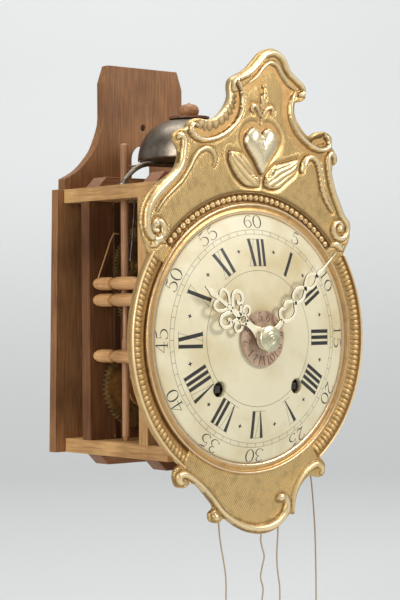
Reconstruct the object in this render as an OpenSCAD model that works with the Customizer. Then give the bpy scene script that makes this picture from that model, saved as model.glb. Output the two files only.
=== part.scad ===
// Wooden shield clock: two train movement in a pegged frame behind a carved and gilt shield.
// Every module is drawn about the centre of the dial: X to the right, Y to the back, Z up.
// from_dial() then moves it so that the origin is the nail hole in the rear board.

/* [Case] */
// Width of the top and bottom plates
case_w = 154; // [152:1:160]
// Clear height between the plates
cage_h = 179.2; // [178:0.2:184]
// Height of the cage floor below the dial centre
cage_floor = 76; // [74:0.1:77]
// Thickness of the top and bottom plates
plate_t = 10.3; // [8:0.1:14]
// Distance from the back of the shield to the rear board
case_d = 123.5; // [120:0.5:130]
// Thickness of the rear board
board_t = 8; // [6:0.5:12]
// Thickness of the uprights and train bars
bar_t = 10; // [8:0.5:10]
// Width of an outer upright
upright_w = 22; // [16:1:22]
// Width of a train bar
train_bar_w = 17; // [14:1:18]
// Width of a batten
batten_w = 16; // [12:1:20]
// Height of a batten
batten_h = 8.4; // [6:0.2:10]

/* [Rear board] */
// Width of the board at its foot
board_foot_w = 174; // [166:1:180]
// Width of the board at its shoulders
board_shoulder_w = 154; // [150:1:156]
// Width of the neck that carries the nail hole
board_neck_w = 79; // [70:1:90]
// Height of the board above the dial centre
board_top = 212; // [208:0.5:216]
// Width of the window behind the bell
window_w = 23; // [20:1:28]
// Height of the top of the window above the dial centre
window_top = 151; // [146:0.5:152]
// Diameter of the nail hole
nail_hole_d = 5; // [5:0.5:8]
// Height of the nail hole above the dial centre
nail_hole_z = 165; // [165:0.5:200]

/* [Trains] */
// Distance of each train from the centre line
train_x = 37.5; // [37:0.1:38.5]
// Depth of the winding arbors below the dial centre
winding_drop = 36; // [35.6:0.1:36.4]
// Teeth on a great wheel
great_teeth = 54; // [52:1:54]
// Module of the great wheels
great_module = 1.12; // [1.1:0.01:1.13]
// Module of the finer wheels
fine_module = 0.8; // [0.78:0.01:0.81]
// Teeth on a second wheel
second_teeth = 64; // [62:1:64]
// Teeth on a third wheel
third_teeth = 60; // [58:1:60]
// Teeth on the warning wheel
warning_teeth = 56; // [54:1:56]
// Teeth on the escape wheel
escape_teeth = 30; // [24:1:36]
// Radius of the escape wheel at its tips
escape_r = 17; // [14:0.5:18]
// Radius of a drum under its cord
drum_r = 11.5; // [10:0.5:12]
// Radius of a drum flange
drum_flange_r = 16; // [14.5:0.5:17]
// Radius of a wooden arbor
arbor_r = 3.2; // [2.4:0.1:3.3]
// Radius of a wire pivot
pivot_r = 1; // [0.8:0.1:1.3]
// Radial clearance of every running fit
fit = 0.06; // [0.03:0.01:0.09]

/* [Dial and hands] */
// Radius of the dial
dial_r = 91.3; // [89:0.1:91.3]
// Radius of the sphere that the face of the dial belongs to
dial_sphere_r = 402; // [380:2:440]
// Thickness of the dial
dial_t = 2.2; // [1.8:0.1:2.4]
// Radius of a winding hole
winding_hole_r = 5.8; // [5:0.1:6]
// Length of the hour hand
hour_len = 72; // [66:1:74]
// Length of the minute hand
minute_len = 94; // [86:1:95]
// Thickness of a hand
hand_t = 1.2; // [0.8:0.1:1.2]
// Angle of the hour hand past twelve
hour_angle = 304; // [0:1:359]
// Angle of the minute hand past twelve
minute_angle = 47.5; // [0:0.5:359]
// Radius of the alarm disc
alarm_disc_r = 20.5; // [16:0.5:23]
// Radius of the brass knob
knob_r = 9.8; // [8:0.1:12]

/* [Shield] */
// Thickness of the flat of the shield
shield_t = 4; // [4:0.1:5]
// Radius of the round body of the shield
shield_r = 112.3; // [111:0.1:114]
// Relief of the carving over its half width
relief = 0.9; // [0.6:0.05:1.1]

/* [Bell and hammers] */
// Radius of the bell at its rim
bell_r = 39.5; // [37:0.5:40.5]
// Height of the bell
bell_h = 32; // [30:0.5:33]
// Wall of the bell
bell_wall = 1.6; // [1.2:0.1:2]
// Height of the rim above the dial centre
bell_rim_z = 135; // [134:0.5:137]
// Radius of the bell stand
stand_r = 2; // [1.5:0.1:2.2]

/* [Cords] */
// Diameter of a cord
cord_d = 1.2; // [1:0.1:1.3]
// Turns of cord left on the going drum
drum_turns = 9; // [4:1:9]

/* [Hidden] */
$fn = 48;

// Colours
wood = "peru";
dark_wood = "saddlebrown";
gilt = "goldenrod";
brass = "darkkhaki";
steel = "slategray";
bronze = "dimgray";
cord_tan = "tan";

// Planes across the clock, measured from the plane of the half hour stars
shield_back = 9.5;
shield_face = shield_back - shield_t;
board_face = shield_back + case_d;
board_back = board_face + board_t;
cage_ceiling = cage_h - cage_floor;
case_half = case_w / 2;
front_bar_y = shield_back + 22.5;
front_bar_back = front_bar_y + bar_t;
rear_bar_back = board_face - 22;
rear_bar_y = rear_bar_back - bar_t;
batten_rows = [shield_back + 27, board_face - 26.5];

// Heights of the arbors
pinion_leaves = 8;
great_z = -winding_drop;
great_r = great_teeth * great_module / 2;
second_z = great_z + (great_teeth + pinion_leaves) * great_module / 2;
third_z = second_z + (second_teeth + pinion_leaves) * fine_module / 2;
fourth_z = third_z + (third_teeth + pinion_leaves) * fine_module / 2;
fly_z = fourth_z + (warning_teeth + pinion_leaves) * fine_module / 2;
anchor_z = fourth_z + escape_r + 8;

// Layers of the trains, as front and back planes
great_layer = [rear_bar_y - 9, rear_bar_y - 4];
second_layer = [front_bar_back + 3, front_bar_back + 6];
third_layer = [rear_bar_y - 17, rear_bar_y - 14];
warning_layer = [rear_bar_y - 9, rear_bar_y - 6.5];
escape_layer = [front_bar_back + 18, front_bar_back + 19.6];
drum_layer = [front_bar_back + 9, rear_bar_y - 15];
ratchet_layer = [drum_layer[1], drum_layer[1] + 3];
end_gap = 0.6;
pivot_len = 8;
winding_r = 3;
square_side = 5;
winding_tip = 1;

// Motion work
drive_teeth = 36;
drive_gap = norm([train_x, second_z]);
drive_module = drive_gap / drive_teeth;
change_x = -26;
change_z = 15;
change_gap = norm([change_x, change_z]);
leaf_count = 10;
change_teeth = 40;
hour_teeth = 30;
change_module = 2 * change_gap / (change_teeth + leaf_count);
hour_module = 2 * change_gap / (hour_teeth + leaf_count);
drive_layer = [front_bar_y - 6, front_bar_y - 3];
change_layer = [front_bar_y - 11, front_bar_y - 8.5];
hour_layer = [front_bar_y - 17.5, front_bar_y - 14.5];
stud_r = 2;
pipe_r = 3.4;
hand_seat_r = 3;
hour_pipe_r = 4.9;

// Faces in front of the dial
dial_apex = -(dial_sphere_r - sqrt(pow(dial_sphere_r, 2) - pow(66, 2)));
disc_back = dial_apex - 0.5;
disc_face = disc_back - 1.2;
hour_hand_y = disc_face - 1.2;
minute_hand_y = hour_hand_y - hand_t - 2.1;
knob_face = minute_hand_y - hand_t - 6.2;

// Levers and hammers on the left side
lever_x = -72.5;
lever_r = 4.85;
lever_neck_y = 77;
lever_heights = [41.2, 29, -12.6];
hammer_x = -60;
hammer_y = 79.5;
hammer_top = 145.5;
hammer_reach = 31;
bell_y = 76;

// Alarm work on the right side
alarm_x = 57.5;
alarm_z = 45;
alarm_y = 23.5;
sheave_r = 14.5;
verge_x = 59;
verge_y = 59.5;

function dial_y(r) = dial_apex + dial_sphere_r - sqrt(pow(dial_sphere_r, 2) - r * r);

// Placing helpers
module from_dial() translate([0, -board_back, -nail_hole_z]) children();
module at(x, z) translate([x, 0, z]) children();
module slab_y(y0, y1) translate([0, y1, 0]) rotate([90, 0, 0]) linear_extrude(y1 - y0) children();
module rod_y(r, y0, y1) translate([0, y0, 0]) rotate([-90, 0, 0]) cylinder(r = r, h = y1 - y0);
module turn_y() rotate([-90, 0, 0]) rotate_extrude() children();
module block(x0, x1, y0, y1, z0, z1) translate([x0, y0, z0]) cube([x1 - x0, y1 - y0, z1 - z0]);
module pair(x) for (s = [-1, 1]) translate([s * x, 0, 0]) children();

// A wire of radius r through a list of points, with round corners
module wire(p, r) {
    for (i = [0:len(p) - 2]) {
        d = p[i + 1] - p[i];
        translate(p[i]) rotate([0, acos(d[2] / norm(d)), atan2(d[1], d[0])]) cylinder(r = r, h = norm(d));
    }
    for (q = p) translate(q) sphere(r = r + 0.03, $fn = 32);
}

// Toothed outline: widths of a tooth at the root, pitch circle and tip
module toothed(n, r, up, down, root_w, pitch_w, tip_w) {
    steps = [[r - down, -root_w], [r, -pitch_w], [r + up, -tip_w],
        [r + up, tip_w], [r, pitch_w], [r - down, root_w]];
    polygon([for (i = [0:n - 1]) for (s = steps)
        let (a = 360 * i / n + s[1] / 2 / s[0] * 180 / PI) s[0] * [cos(a), sin(a)]]);
}

// Spoked web cut out of a wheel between two radii
module crossings(r0, r1, spokes, spoke_w) {
    difference() {
        circle(r1);
        circle(r0);
        for (i = [0:spokes - 1]) rotate(360 * i / spokes + 45) translate([0, -spoke_w / 2])
            square([r1 + 1, spoke_w]);
    }
}

// Train wheel of a given module, with its hub hole left to the arbor
module train_wheel(n, m, hub_r, turn) {
    r = n * m / 2;
    k = m / 0.8;
    difference() {
        rotate(turn) toothed(n, r, 0.75 * m / 0.8, 1 * k, 1.35 * k, 1.05 * k, 0.4 * k);
        crossings(hub_r + 3, r - 3.6, 4, 4);
        circle(hub_r);
    }
}

module great_outline(hub_r, turn) {
    difference() {
        rotate(turn) toothed(great_teeth, great_r, 0.9 * great_module, 1.16 * great_module,
            1.7 * great_module, 1.34 * great_module, 0.45 * great_module);
        circle(hub_r);
    }
}

// Lantern pinion: wire staves between two shrouds, about the Y axis
module lantern(m, stave_r, y0, y1, turn) {
    r = pinion_leaves * m / 2;
    shroud_t = 1.2;
    for (i = [0:pinion_leaves - 1]) rotate([0, -(turn + 360 * i / pinion_leaves), 0])
        translate([r, 0, 0]) rod_y(stave_r, y0 - shroud_t / 2, y1 + shroud_t / 2);
    for (y = [y0 - shroud_t, y1]) rod_y(r + stave_r + 0.7, y, y + shroud_t);
}

// Smooth line through points [x, z, half width]
function spline(a, b, c, d, t) = 0.5 * (2 * b + (c - a) * t + (2 * a - 5 * b + 4 * c - d) * t * t
    + (3 * b - a - 3 * c + d) * t * t * t);
function smooth(p, n) = concat([for (i = [0:len(p) - 2]) for (k = [0:n - 1])
    spline(p[max(i - 1, 0)], p[i], p[i + 1], p[min(i + 2, len(p) - 1)], k / n)], [p[len(p) - 1]]);
function mirrored(p) = [for (q = p) [-q[0], q[1], q[2]]];
// Spiral about a centre: radii, start angle, sweep and half widths
function volute(c, r0, r1, a0, sweep, w0, w1, n) = [for (i = [0:n]) let (t = i / n,
    r = r0 + (r1 - r0) * t, a = a0 + sweep * t) [c[0] + r * cos(a), c[1] + r * sin(a),
        w0 + (w1 - w0) * t]];

// Carved ridge with a round back, lying on the face of the shield
module ridge(line, n = 3, rise = relief) {
    p = smooth(line, n);
    last = len(p) - 1;
    sides = 5;
    ring = [for (i = [0:last]) let (a = p[max(i - 1, 0)], b = p[min(i + 1, last)],
        t = [b[0] - a[0], b[1] - a[1]] / norm([b[0] - a[0], b[1] - a[1]]), w = max(p[i][2], 0.3))
        for (k = [0:sides]) let (u = w * cos(180 * k / sides), h = rise * w * sin(180 * k / sides))
        [p[i][0] - t[1] * u, shield_face - h, p[i][1] + t[0] * u]];
    row = sides + 1;
    faces = concat([for (i = [0:last - 1]) for (k = [0:sides]) let (a = i * row + k,
        b = i * row + (k + 1) % row) each [[a, a + row, b + row], [a, b + row, b]]],
        [[for (k = [0:sides]) k]], [[for (k = [sides:-1:0]) last * row + k]]);
    polyhedron(ring, faces);
}

// Round boss on the face of the shield
module boss(x, z, r, rise = 0.75) {
    at(x, z) rotate([90, 0, 0]) translate([0, 0, -shield_face]) rotate_extrude()
        polygon(concat([[0, 0]], [for (k = [0:5]) [r * cos(18 * k), rise * r * sin(18 * k)]]));
}

// Case
module board_outline() {
    foot = board_foot_w / 2;
    shoulder = board_shoulder_w / 2;
    neck = board_neck_w / 2;
    step_z = cage_ceiling + plate_t;
    right = concat([[foot, -cage_floor - plate_t], [foot - 4, step_z], [shoulder, step_z]],
        edge([[shoulder, step_z + 8.2], [shoulder - 10.5, step_z + 13.6],
        [shoulder - 17.7, step_z + 19.2], [shoulder - 23.6, step_z + 25.4],
        [shoulder - 29, step_z + 32.4], [shoulder - 33.4, step_z + 42], [neck + 0.9, step_z + 51],
        [neck, step_z + 58]]),
        [[neck, board_top - 14], [neck - 5, board_top]]);
    polygon(concat(right, [for (i = [len(right) - 1:-1:0]) [-right[i][0], right[i][1]]]));
}
module back_board() color(dark_wood) difference() {
    slab_y(board_face, board_back) board_outline();
    half = window_w / 2;
    arch_z = window_top - half;
    block(-half, half, board_face - 1, board_back + 1, cage_ceiling + plate_t, arch_z);
    at(0, arch_z) rod_y(half, board_face - 1, board_back + 1);
    at(0, nail_hole_z) rod_y(nail_hole_d / 2, board_face - 1, board_back + 1);
    translate([-board_neck_w, board_face, board_top]) rotate([45, 0, 0])
        cube([board_neck_w * 2, 7, 7]);
}
module plate(z0) block(-case_half, case_half, shield_back, board_face, z0, z0 + plate_t);
module top_plate() color(wood) difference() {
    plate(cage_ceiling);
    translate([hammer_x, hammer_y, cage_ceiling - 1]) cylinder(r = 3 + fit, h = plate_t + 2);
    translate([verge_x, verge_y, cage_ceiling - 1]) cylinder(r = 1.2 + fit, h = plate_t + 2);
    for (x = pin_x) at(x, cage_ceiling + plate_t / 2) rod_y(pin_r, shield_back - 1, pin_end);
}
going_hole = [train_x - drum_r - 0.9, rear_bar_y - 28];
tie_hole = [train_x + drum_r + 1, front_bar_back + 10];
alarm_holes = [alarm_x - sheave_r, alarm_x + sheave_r];
module bottom_plate() color(wood) difference() {
    plate(-cage_floor - plate_t);
    drop = -cage_floor - plate_t - 1;
    translate([hammer_x, hammer_y, -cage_floor - 4]) cylinder(r = pivot_r + fit, h = 5);
    translate([verge_x, verge_y, -cage_floor - 4]) cylinder(r = pivot_r + fit, h = 5);
    translate([going_hole[0], going_hole[1], drop]) cylinder(r = 3, h = plate_t + 2);
    translate([-going_hole[0], going_hole[1], drop]) cylinder(r = 3, h = plate_t + 2);
    translate([tie_hole[0], tie_hole[1], drop]) cylinder(r = cord_d, h = plate_t + 2);
    translate([-tie_hole[0], tie_hole[1], drop]) cylinder(r = cord_d, h = plate_t + 2);
    for (x = alarm_holes) translate([x, alarm_y, drop]) cylinder(r = 2.2, h = plate_t + 2);
    for (x = low_pin_x) at(x, -cage_floor - plate_t / 2) rod_y(pin_r, shield_back - 1, pin_end);
}
module batten(y, z, up) {
    slope = batten_h;
    half = case_half - 6;
    translate([0, y + batten_w / 2, z]) rotate([90, 0, 0]) linear_extrude(batten_w)
        polygon([[-half, 0], [half, 0], [half - slope, up * batten_h], [slope - half, up * batten_h]]);
}
module battens() color(dark_wood) for (y = batten_rows) {
    batten(y, cage_ceiling + plate_t, 1);
    batten(y, -cage_floor - plate_t, -1);
}
module upright(y, holes_from, holes_to) difference() {
    for (s = [-1, 1]) block(min(s * case_half, s * (case_half - upright_w)),
        max(s * case_half, s * (case_half - upright_w)), y, y + bar_t, -cage_floor, cage_ceiling);
    for (z = lever_heights) at(lever_x, z) rod_y(lever_pivot_r + fit, holes_from, holes_to);
    at(alarm_x, alarm_z) rod_y(alarm_arbor_r + fit, front_bar_y - 1, front_bar_back + 1);
}
lever_pivot_r = 0.8;
alarm_arbor_r = 1.5;
module front_uprights() color(wood) upright(front_bar_y, front_bar_back - 5, front_bar_back + 1);
module rear_uprights() color(dark_wood) upright(rear_bar_y, rear_bar_y - 1, rear_bar_y + 5);

// Pivot places of a train, as height, bush bore at the front and bush bore at the back
bush_r = 3;
winding_bush_r = 4.6;
through_r = 1.5;
going_pivots = [[second_z, through_r, pivot_r], [third_z, pivot_r, pivot_r],
    [fourth_z, pivot_r, pivot_r], [anchor_z, pivot_r, through_r]];
strike_pivots = [[second_z, pivot_r, pivot_r], [third_z, pivot_r, pivot_r],
    [fourth_z, pivot_r, pivot_r], [fly_z, pivot_r, pivot_r]];
module train_bar(x, y, pivots, great_bush) difference() {
    block(x - train_bar_w / 2, x + train_bar_w / 2, y, y + bar_t, -cage_floor, cage_ceiling);
    for (p = pivots) at(x, p[0]) rod_y(bush_r, y - 1, y + bar_t + 1);
    at(x, great_z) rod_y(great_bush, y - 1, y + bar_t + 1);
}
module front_train_bars() color(wood) {
    train_bar(train_x, front_bar_y, going_pivots, winding_bush_r);
    train_bar(-train_x, front_bar_y, strike_pivots, winding_bush_r);
}
module rear_train_bars() color(dark_wood) {
    train_bar(train_x, rear_bar_y, going_pivots, bush_r);
    train_bar(-train_x, rear_bar_y, strike_pivots, bush_r);
}
module centre_rail() color(wood) difference() {
    reach = train_x - train_bar_w / 2;
    block(-reach, reach, front_bar_y, front_bar_back, -8, change_z + 9);
    rod_y(stud_r, front_bar_y - 1, front_bar_back + 1);
    at(change_x, change_z) rod_y(stud_r, front_bar_y - 1, front_bar_back + 1);
}
module bush(outer, inner, y) difference() {
    rod_y(outer, y, y + bar_t);
    rod_y(inner, y - 1, y + bar_t + 1);
}
module pivot_bushes() color(brass) for (side = [[train_x, going_pivots], [-train_x, strike_pivots]]) {
    for (p = side[1]) at(side[0], p[0]) {
        bush(bush_r, p[1] + fit, front_bar_y);
        bush(bush_r, p[2] + fit, rear_bar_y);
    }
    at(side[0], great_z) {
        bush(winding_bush_r, winding_r + fit, front_bar_y);
        bush(bush_r, through_r + fit, rear_bar_y);
    }
}
module motion_studs() color(steel) {
    rod_y(stud_r, minute_hand_y - 1, front_bar_back);
    at(change_x, change_z) rod_y(stud_r, hour_layer[0] - 2.4, front_bar_back);
}

// Shield
ring_out = 99.5;
recess_r = 109.5;
// Angles of the gadrooned bands above and below the horizontal
band_top = 34;
band_foot = -54;
bead_count = 33;
bead_ring_r = 103.4;
bead_r = 2.5;
bead_spread = 47;
recess_y = 7;
pin_r = 1;
pin_x = [-58, 69];
low_pin_x = [-30, 30];
pin_end = shield_back + 14;
crest_edge = [[93.5, 62], [97, 68], [101, 75], [101.5, 82], [99.5, 89], [94.5, 94], [88.7, 104.8],
    [84, 115.5], [83.3, 129.4], [87.4, 132.5], [88.8, 137], [86, 141.5], [82.8, 145.4], [82.3, 151.8],
    [75.9, 155.8], [67.3, 155], [58.8, 151.3], [50.3, 157], [43.7, 166.7], [44.2, 176.6],
    [50, 177.4], [55.6, 181], [55.8, 187], [51, 192.3], [41, 199.6], [35, 210], [23, 214.8],
    [12.5, 212], [5, 205.4], [-3, 197.8], [-12, 193.2], [-18.5, 189.4], [-20.3, 183.8], [-19.8, 176.5],
    [-24, 168.4], [-32, 160.8], [-41, 158], [-50, 158.6], [-57.5, 156], [-61, 150.8], [-67, 149.5],
    [-71.9, 145.5], [-70.5, 141], [-66.8, 134.8], [-67.8, 127.3], [-73, 119], [-85, 111.4],
    [-94.5, 103], [-100.3, 93.5], [-101.5, 84], [-99.5, 75], [-97, 68], [-93.5, 62]];
apron_edge = [[-67.5, -89], [-72, -92], [-73.3, -98], [-70.5, -104], [-64, -105], [-58.5, -101.8],
    [-51, -105], [-42, -114], [-36, -121.5], [-40.5, -125.5], [-39.5, -131], [-33, -132.6],
    [-27, -129.6], [-16, -136.4], [-4, -141.8], [8, -144], [21, -142.2], [31, -136.4],
    [37, -131.5], [41.5, -132], [42.5, -124], [46, -114.5], [53, -106.8], [60, -103.5],
    [66, -106], [72, -104.5], [73.8, -99], [71.5, -94], [66, -90]];
function flat(p) = [for (q = p) [q[0], q[1], 0]];
function edge(p) = [for (q = smooth(flat(p), 3)) [q[0], q[1]]];
function rim_arc(a0, a1) = [for (k = [1:14]) let (a = a0 + (a1 - a0) * k / 15) shield_r * [cos(a),
    sin(a)]];
module shield_outline() polygon(concat(edge(crest_edge), rim_arc(146.5, 232.8), edge(apron_edge),
    rim_arc(-53.7, 33.5)));
// Recess for the dial, its frame, the side bands and the beads, as one outline
function wide_arc(a0, a1, r) = let (n = ceil((a1 - a0) / 1.5), w = r / cos((a1 - a0) / n / 2))
    [for (k = [0:n]) w * [cos(a0 + (a1 - a0) * k / n), sin(a0 + (a1 - a0) * k / n)]];
bead_span = bead_spread + 3;
module recess_outline() polygon(concat(wide_arc(band_foot, band_top, recess_r),
    wide_arc(band_top, 90 - bead_span, ring_out),
    wide_arc(90 - bead_span, 90 + bead_span, bead_ring_r + 3.6),
    wide_arc(90 + bead_span, 180 - band_top, ring_out),
    wide_arc(180 - band_top, 180 - band_foot, recess_r),
    wide_arc(180 - band_foot, 360 + band_foot, ring_out)));
module shield_board() color(gilt) difference() {
    slab_y(shield_face, shield_back) shield_outline();
    slab_y(shield_face - 1, recess_y) recess_outline();
    rod_y(hour_pipe_r + 1.6, recess_y - 1, shield_back + 1);
    pair(train_x) at(0, great_z) rod_y(winding_hole_r, recess_y - 1, shield_back + 1);
    for (x = pin_x) at(x, cage_ceiling + plate_t / 2) rod_y(pin_r, 0, shield_back + 1);
    for (x = low_pin_x) at(x, -cage_floor - plate_t / 2) rod_y(pin_r, 0, shield_back + 1);
}
module dial_moulding() color(gilt) turn_y() {
    polygon([[dial_r + 0.1, recess_y], [dial_r + 0.1, 5.7], [92.2, 4.7], [93.4, 4.4], [94.6, 4.6],
        [96.6, 5], [97.4, 3.8], [98.4, 3.2], [99.1, 3.5], [ring_out, 4.5], [ring_out, recess_y]]);
}
module gadroon_band() rotate([90, 0, 0]) rotate([0, 0, band_foot])
    rotate_extrude(angle = band_top - band_foot)
        polygon([[ring_out, -recess_y], [recess_r, -recess_y], [recess_r, -shield_face],
            [shield_r, -shield_face], [shield_r, -3.1], [111.5, -2.5], [109.3, -5.3],
            [103.8, -5.3], [102.8, -6.2], [ring_out, -6.2]]);
module gadroon_bands() color(gilt) {
    gadroon_band();
    mirror([1, 0, 0]) gadroon_band();
}
crest_rim = [[49, 181.5, 1], [53, 183.5, 2], [52, 188.5, 2.2], [45, 193.4, 2.3], [37.5, 199, 2.4],
    [32, 208, 2.4], [23, 211.8, 2.4], [14.2, 209, 2.4], [7, 202, 2.4], [-1.5, 195, 2.3],
    [-11, 190.6, 2.2], [-16.8, 186.8, 2], [-16.8, 182, 1.8], [-13.4, 181.2, 1]];
crest_inner = [[45, 185.5, 0.6], [38, 189.5, 1.5], [31.5, 196, 1.6], [26, 202.6, 1.6], [19, 204.2, 1.6],
    [12, 199.6, 1.6], [5.5, 192.6, 1.5], [-2, 187.5, 0.6]];
rocaille = [[-12.5, 188, 1], [-8.6, 180, 1.5], [-8.2, 171, 1.7], [-12, 161.5, 1.8], [-20, 153, 1.9],
    [-31, 146.8, 2], [-43, 143.8, 2.1], [-52.6, 145.4, 2.1], [-57.4, 150, 1.9], [-55, 154.6, 1.5],
    [-50.4, 153.2, 1.1]];
right_hollow = [[41.5, 180, 0.8], [40.2, 172, 1.7], [41.8, 163, 1.9], [47.5, 155, 2], [56, 149.4, 2.1],
    [66, 147.6, 2.1], [75.5, 148.6, 2.1], [79, 152, 1.8], [74, 153.6, 1.4]];
// Ribs of the rocaille, from its ridge out to the edge
rib_spine = [[-10.5, 181], [-10.5, 174], [-13.5, 165.5], [-19.5, 158.5], [-27.5, 153],
    [-36.5, 149.5], [-45.5, 148.5]];
rib_tip = [[-17, 181], [-16.5, 175], [-21, 168.6], [-28, 161.6], [-36, 157], [-43, 155.4],
    [-49, 153.5]];
module crest_carving() color(gilt) {
    ridge(crest_rim);
    ridge(crest_inner);
    ridge(rocaille);
    ridge(right_hollow);
    for (i = [0:len(rib_spine) - 1]) ridge([[rib_spine[i][0], rib_spine[i][1], 1.3],
        [rib_tip[i][0], rib_tip[i][1], 1.1]], 1);
    boss(50, 183.2, 2.6);
    boss(73.4, 151.6, 2.6);
    boss(-52, 152.6, 2.2);
}
left_scroll = concat([[-67, 144.5, 1], [-68, 141, 2], [-63.4, 134, 2.6], [-64.4, 125.6, 3], [-73, 116.6,
    3.3],
    [-84.6, 108, 3.4], [-93, 98.6, 3.2]], volute([-89.8, 82.4], 10.8, 3.4, 150, 500, 2.8, 1.5, 13));
left_vein = [[-36, 132.6, 1.1], [-34.6, 136.4, 1.6], [-39.5, 139.6, 1.8], [-48, 138.8, 1.9], [-55.6,
    132, 1.8],
    [-61, 122.6, 1.5], [-71, 112.4, 1.3], [-81, 103, 1.2], [-87, 95.4, 0.8]];
right_scroll = concat([[86.4, 137.5, 1.4], [84.5, 140.4, 2], [79.5, 138.5, 2.2], [78, 130.4, 2.4],
    [78.4, 119, 2.6],
    [82.6, 107.4, 2.7], [89.5, 97, 2.7]], volute([89.6, 82.6], 9.9, 3, 70, -470, 2.6, 1.5, 13));
right_fold = [[46.6, 124.6, 1.6], [50, 129, 2.6], [54.2, 135.4, 2.6], [61.5, 138.6, 2.2], [68, 132, 2.1],
    [71, 119.5, 2], [75.4, 107.6, 1.8], [81.6, 97.6, 1.2]];
band_scroll = [[81.5, 69.5, 1], [86, 70.8, 2.4], [91, 67.8, 2.7], [93.2, 66.2, 0.8]];
module side_scrolls() color(gilt) {
    ridge(left_scroll);
    ridge(left_vein);
    ridge(right_scroll);
    ridge(right_fold);
    ridge(band_scroll);
    ridge(mirrored(band_scroll));
    boss(-89.8, 82.4, 2.8);
    boss(89.6, 82.6, 2.8);
}
heart_x = 10.5;
heart_lobe = [[0, 123.5, 0.5], [2.5, 130, 5], [5.2, 140, 8.2], [6.8, 148, 8], [7, 154, 5.6],
    [7, 157, 1.5]];
leaf_left = [[6, 113.5, 0.8], [-2, 118, 4], [-11, 125.5, 5.2], [-19.5, 133.4, 4.4], [-26.5, 140.5, 0.5]];
leaf_right = [[12, 113.5, 0.8], [19, 117, 4], [27.5, 123.6, 5.2], [34, 129.6, 4.2], [38.5, 134.6, 0.5]];
module heart_ornament() color(gilt) {
    for (s = [-1, 1]) ridge([for (q = heart_lobe) [heart_x + s * q[0], q[1], q[2]]], 3, 0.7);
    ridge(leaf_left, 2, 0.5);
    ridge(leaf_right, 2, 0.5);
    ridge([[9.8, 164, 0.6], [9.6, 172, 2], [9.4, 179, 2.4], [9.2, 184.5, 0.6]], 2);
    ridge([[9.8, 164, 0.6], [5.6, 170, 1.5], [0.6, 172.6, 2.2], [-1.6, 168.4, 0.8]], 2);
    ridge([[9.8, 164, 0.6], [14, 170, 1.5], [19, 172.6, 2.2], [21.2, 168.4, 0.8]], 2);
}
module bead_row() color(gilt) intersection() {
    for (i = [0:bead_count - 1]) let (a = 90 - bead_spread + 2 * bead_spread * i / (bead_count - 1))
        translate([bead_ring_r * cos(a), recess_y, bead_ring_r * sin(a)]) sphere(r = bead_r);
    rod_y(recess_r, -5, recess_y);
}
apron_rim_left = [[-63.5, -98, 1.2], [-68, -100.4, 2.4], [-69.8, -96, 2.6], [-63.5, -94.4, 2.6], [-54.5,
    -98, 2.2],
    [-45, -107.4, 2], [-36.5, -117.6, 2], [-26, -126.6, 2.1], [-13, -134, 2.3], [0, -139, 2.5], [12,
        -140.4, 2.7],
    [24, -136.8, 3], [32.4, -129, 3.1], [34.6, -120, 2.9], [30, -114, 2.6], [24, -115.6, 2], [23,
        -120.4, 1]];
apron_strip_left = [[-58.5, -98.8, 0.8], [-52.5, -101.6, 1.6], [-45, -109, 1.7], [-39, -117.6, 1.7],
    [-36.4, -125, 2],
    [-35, -129.6, 1.6]];
apron_strip_right = [[40.4, -129.6, 1.2], [40.2, -122, 1.8], [43.6, -112.6, 2], [50, -103.6, 2.2],
    [58.6, -97.6, 2.4],
    [66.5, -96, 2.5], [70.6, -99, 2.2], [68.6, -103, 1.4]];
module apron_carving() color(gilt) {
    ridge(apron_rim_left);
    ridge(apron_strip_left);
    ridge(apron_strip_right);
    boss(-36.6, -128.4, 3);
    boss(24.8, -118.4, 3);
}
module dial() color("cornsilk") difference() {
    turn_y() polygon(concat([for (k = [0:12]) let (r = hour_pipe_r + 1 + (dial_r - hour_pipe_r - 1) * k
        / 12)
        [r, dial_y(r)]], [[dial_r, recess_y]],
        [for (k = [12:-1:0]) let (r = hour_pipe_r + 1 + (dial_r - 2 - hour_pipe_r - 1) * k / 12)
        [r, min(dial_y(r) + dial_t, recess_y)]]));
    pair(train_x) at(0, great_z) rod_y(winding_hole_r, -20, 20);
}
module shield_pins() color(steel) {
    for (x = pin_x) at(x, cage_ceiling + plate_t / 2) {
        rod_y(pin_r, shield_face, pin_end);
        rod_y(1.9, shield_face - 0.8, shield_face);
    }
    for (x = low_pin_x) at(x, -cage_floor - plate_t / 2) rod_y(pin_r, recess_y, pin_end);
}

// Bell
stand_foot = [-68, 70, cage_ceiling + plate_t];
bell_top = bell_rim_z + bell_h;
function bell_line(r, h) = [for (k = [0:10]) let (a = 9 * k) [max(r * pow(cos(a), 0.72), stand_r),
    h * sin(a)]];
module bell_stand() color("darkslategray") {
    translate(stand_foot) cylinder(r = 5, h = 1.6);
    tube(smooth([stand_foot + [0, 0, 1], stand_foot + [1, 0, 4], stand_foot + [11, 1, 12.5],
        stand_foot + [23, 2, 17], [-28, 73.6, bell_rim_z - 4], [-12, 75, bell_rim_z - 3.4],
        [-4, 75.8, bell_rim_z - 1], [-0.6, bell_y, bell_rim_z + 4], [0, bell_y, bell_rim_z + 10],
        [0, bell_y, bell_rim_z + 13]], 3), stand_r, 14);
    translate([0, bell_y, bell_rim_z + 11]) cylinder(r = stand_r - 0.04, h = bell_h + 0.2);
}
module bell() color(bronze) translate([0, bell_y, bell_rim_z]) rotate_extrude() polygon(
    concat(bell_line(bell_r, bell_h), [for (k = [10:-1:0]) let (p = bell_line(bell_r - bell_wall,
        bell_h - bell_wall)[k]) p]));
module bell_washer() color(dark_wood) translate([0, bell_y, bell_top]) difference() {
    cylinder(r = 15.5, h = 1.8);
    translate([0, 0, -1]) cylinder(r = stand_r, h = 4);
}
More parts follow.
